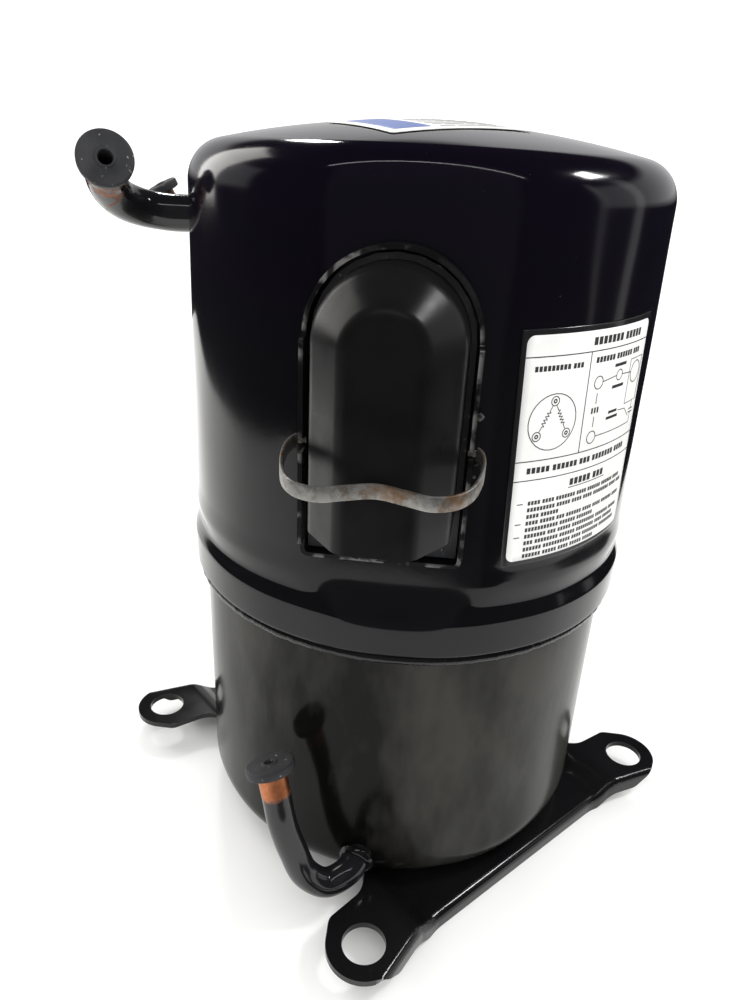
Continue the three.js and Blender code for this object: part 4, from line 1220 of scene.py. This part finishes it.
for corner in CORNERS:
    yielding(f"suspension_spring_{corner}", BLUED_WIRE)
yielding("discharge_shock_loop", COPPER)
yielding("motor_leads", RUBBER)


# ---------- CAD nodes that stay ----------
KEPT = {
    RUBBER: ["terminal_gasket"],
    BRASS: ["terminal_pin_common", "terminal_pin_start", "terminal_pin_run", "ground_screw", "relief_valve",
            "rotor_counterweight", "slide_block"],
    STEEL: ["terminal_body", "sump_cover_plate", "valve_plate_left", "valve_plate_right", "discharge_muffler",
            "motor_end_cap", "crankshaft", "oil_pickup_tube", "scotch_yoke"],
    LAMINATIONS: ["stator_core", "rotor_core"],
    CAST_IRON: ["crankcase", "cylinder_head_left", "cylinder_head_right"],
    ALUMINIUM: ["rotor_end_ring_lower", "rotor_end_ring_upper", "piston_left", "piston_right"],
    VARNISHED: ["lower_winding", "upper_winding"],
    PHENOLIC: ["overload_protector"],
}
KEPT[STEEL] += [f"spring_seat_{corner}" for corner in CORNERS]
for finish, names in KEPT.items():
    for node_name in names:
        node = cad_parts[node_name]
        if not node.material_slots:
            node.data.materials.append(finish)
        for holder in node.material_slots:
            holder.material = finish


# ---------- stage ----------
TABLE = (-750.0, 450.0, -408.0, 1300.0)  # left, right, front, back, before it is turned
TABLE_TURN = math.radians(13.6)
TABLE_CORNER_R = 150.0
LAMP_AIM = Vector((0, 0, 0.18))
WHITE = (1, 1, 1)


def floor_material():
    look = Look("pale_floor", Specular_IOR_Level=0.2)
    tone = look.mixed(look.remap(look.noise(3, 3), 0.3, 0.7), (0.84, 0.84, 0.83), (0.88, 0.88, 0.87))
    return look.done(tone, look.remap(look.noise(40, 3), 0.3, 0.7, 0.6, 0.75))


def add_floor():
    """A white table top: past its front edge the gloss reflects the dim room."""
    low, _ = cad_box
    left, right, front, back = TABLE
    corners = [(left, front), (right, front), (right, back), (left, back)]
    form = filled([rounded([(*corner, TABLE_CORNER_R) for corner in corners], closed=True)])
    spin = Matrix.Rotation(TABLE_TURN, 4, "Z")
    for vertex in form.verts:
        vertex.co = spin @ (vertex.co + Vector((0, 0, low.z / MM)))
    mesh = faced(cleaned(form), lambda centre: UP)
    mesh.materials.append(floor_material())
    floor = bpy.data.objects.new("floor", mesh)
    bpy.context.scene.collection.objects.link(floor)


def add_panel(name, place, size, watts, colour):
    light = bpy.data.lights.new(name, "AREA")
    light.shape = "RECTANGLE"
    light.size, light.size_y = size
    light.energy = watts
    light.color = colour
    holder = bpy.data.objects.new(name, light)
    holder.location = place
    holder.rotation_euler = (LAMP_AIM - Vector(place)).to_track_quat("-Z", "Y").to_euler()
    bpy.context.scene.collection.objects.link(holder)


def add_world():
    """A white room to the eye and the floor. Gloss sees grey windows behind and in front of a dark room."""
    world = bpy.data.worlds.new("studio")
    world.use_nodes = True
    bpy.context.scene.world = world
    nodes = Nodes(world.node_tree)

    def window(value, low, high, softness):
        """1 between two values and 0 outside them."""
        rise = nodes.remap(value, low, low + softness)
        fall = nodes.remap(value, high, high + softness, 1.0, 0.0)
        return nodes.maths("MULTIPLY", rise, fall)

    towards = nodes.add("ShaderNodeTexCoord").outputs["Generated"]
    split = nodes.add("ShaderNodeSeparateXYZ", {"Vector": towards})
    x, y, z = (split.outputs[axis] for axis in "XYZ")
    behind = nodes.maths("MULTIPLY", window(y, -0.1, 1.5, 0.06), window(z, 0.0, 0.44, 0.08))
    ahead = nodes.maths("MULTIPLY", window(x, -0.42, 0.32, 0.1), window(y, -1.2, -0.7, 0.1))
    room = nodes.mixed(ahead, (0.01, 0.01, 0.014), (0.11, 0.11, 0.12))
    room = nodes.mixed(behind, room, (0.7, 0.7, 0.71))
    gloss = nodes.add("ShaderNodeLightPath").outputs["Is Glossy Ray"]
    colour = nodes.mixed(gloss, (1.3, 1.3, 1.3), room)
    nodes.set(nodes.tree.nodes["Background"].inputs["Color"], colour)


PANELS = (  # name, place in metres, width and height, watts, colour; all face the middle of the object
    ("left_window", (-1.1, 0.5, 0.75), (0.5, 1.1), 8, (1.0, 0.98, 0.94)),
    ("right_window", (1.15, 0.25, 0.5), (0.14, 1.0), 0.3, WHITE),
    ("right_strip", (1.1, -0.15, 0.5), (0.07, 0.9), 0.12, WHITE),
    ("front_strip", (0, -0.9, 1.4), (1.4, 0.035), 2.2, WHITE),
    ("back_lamp", (-0.35, 0.8, 1.0), (0.12, 0.12), 3, WHITE),
    ("top_lamp", (0.75, 0.1, 1.0), (0.16, 0.16), 4, WHITE),
)
add_floor()
add_world()
for panel in PANELS:
    add_panel(*panel)
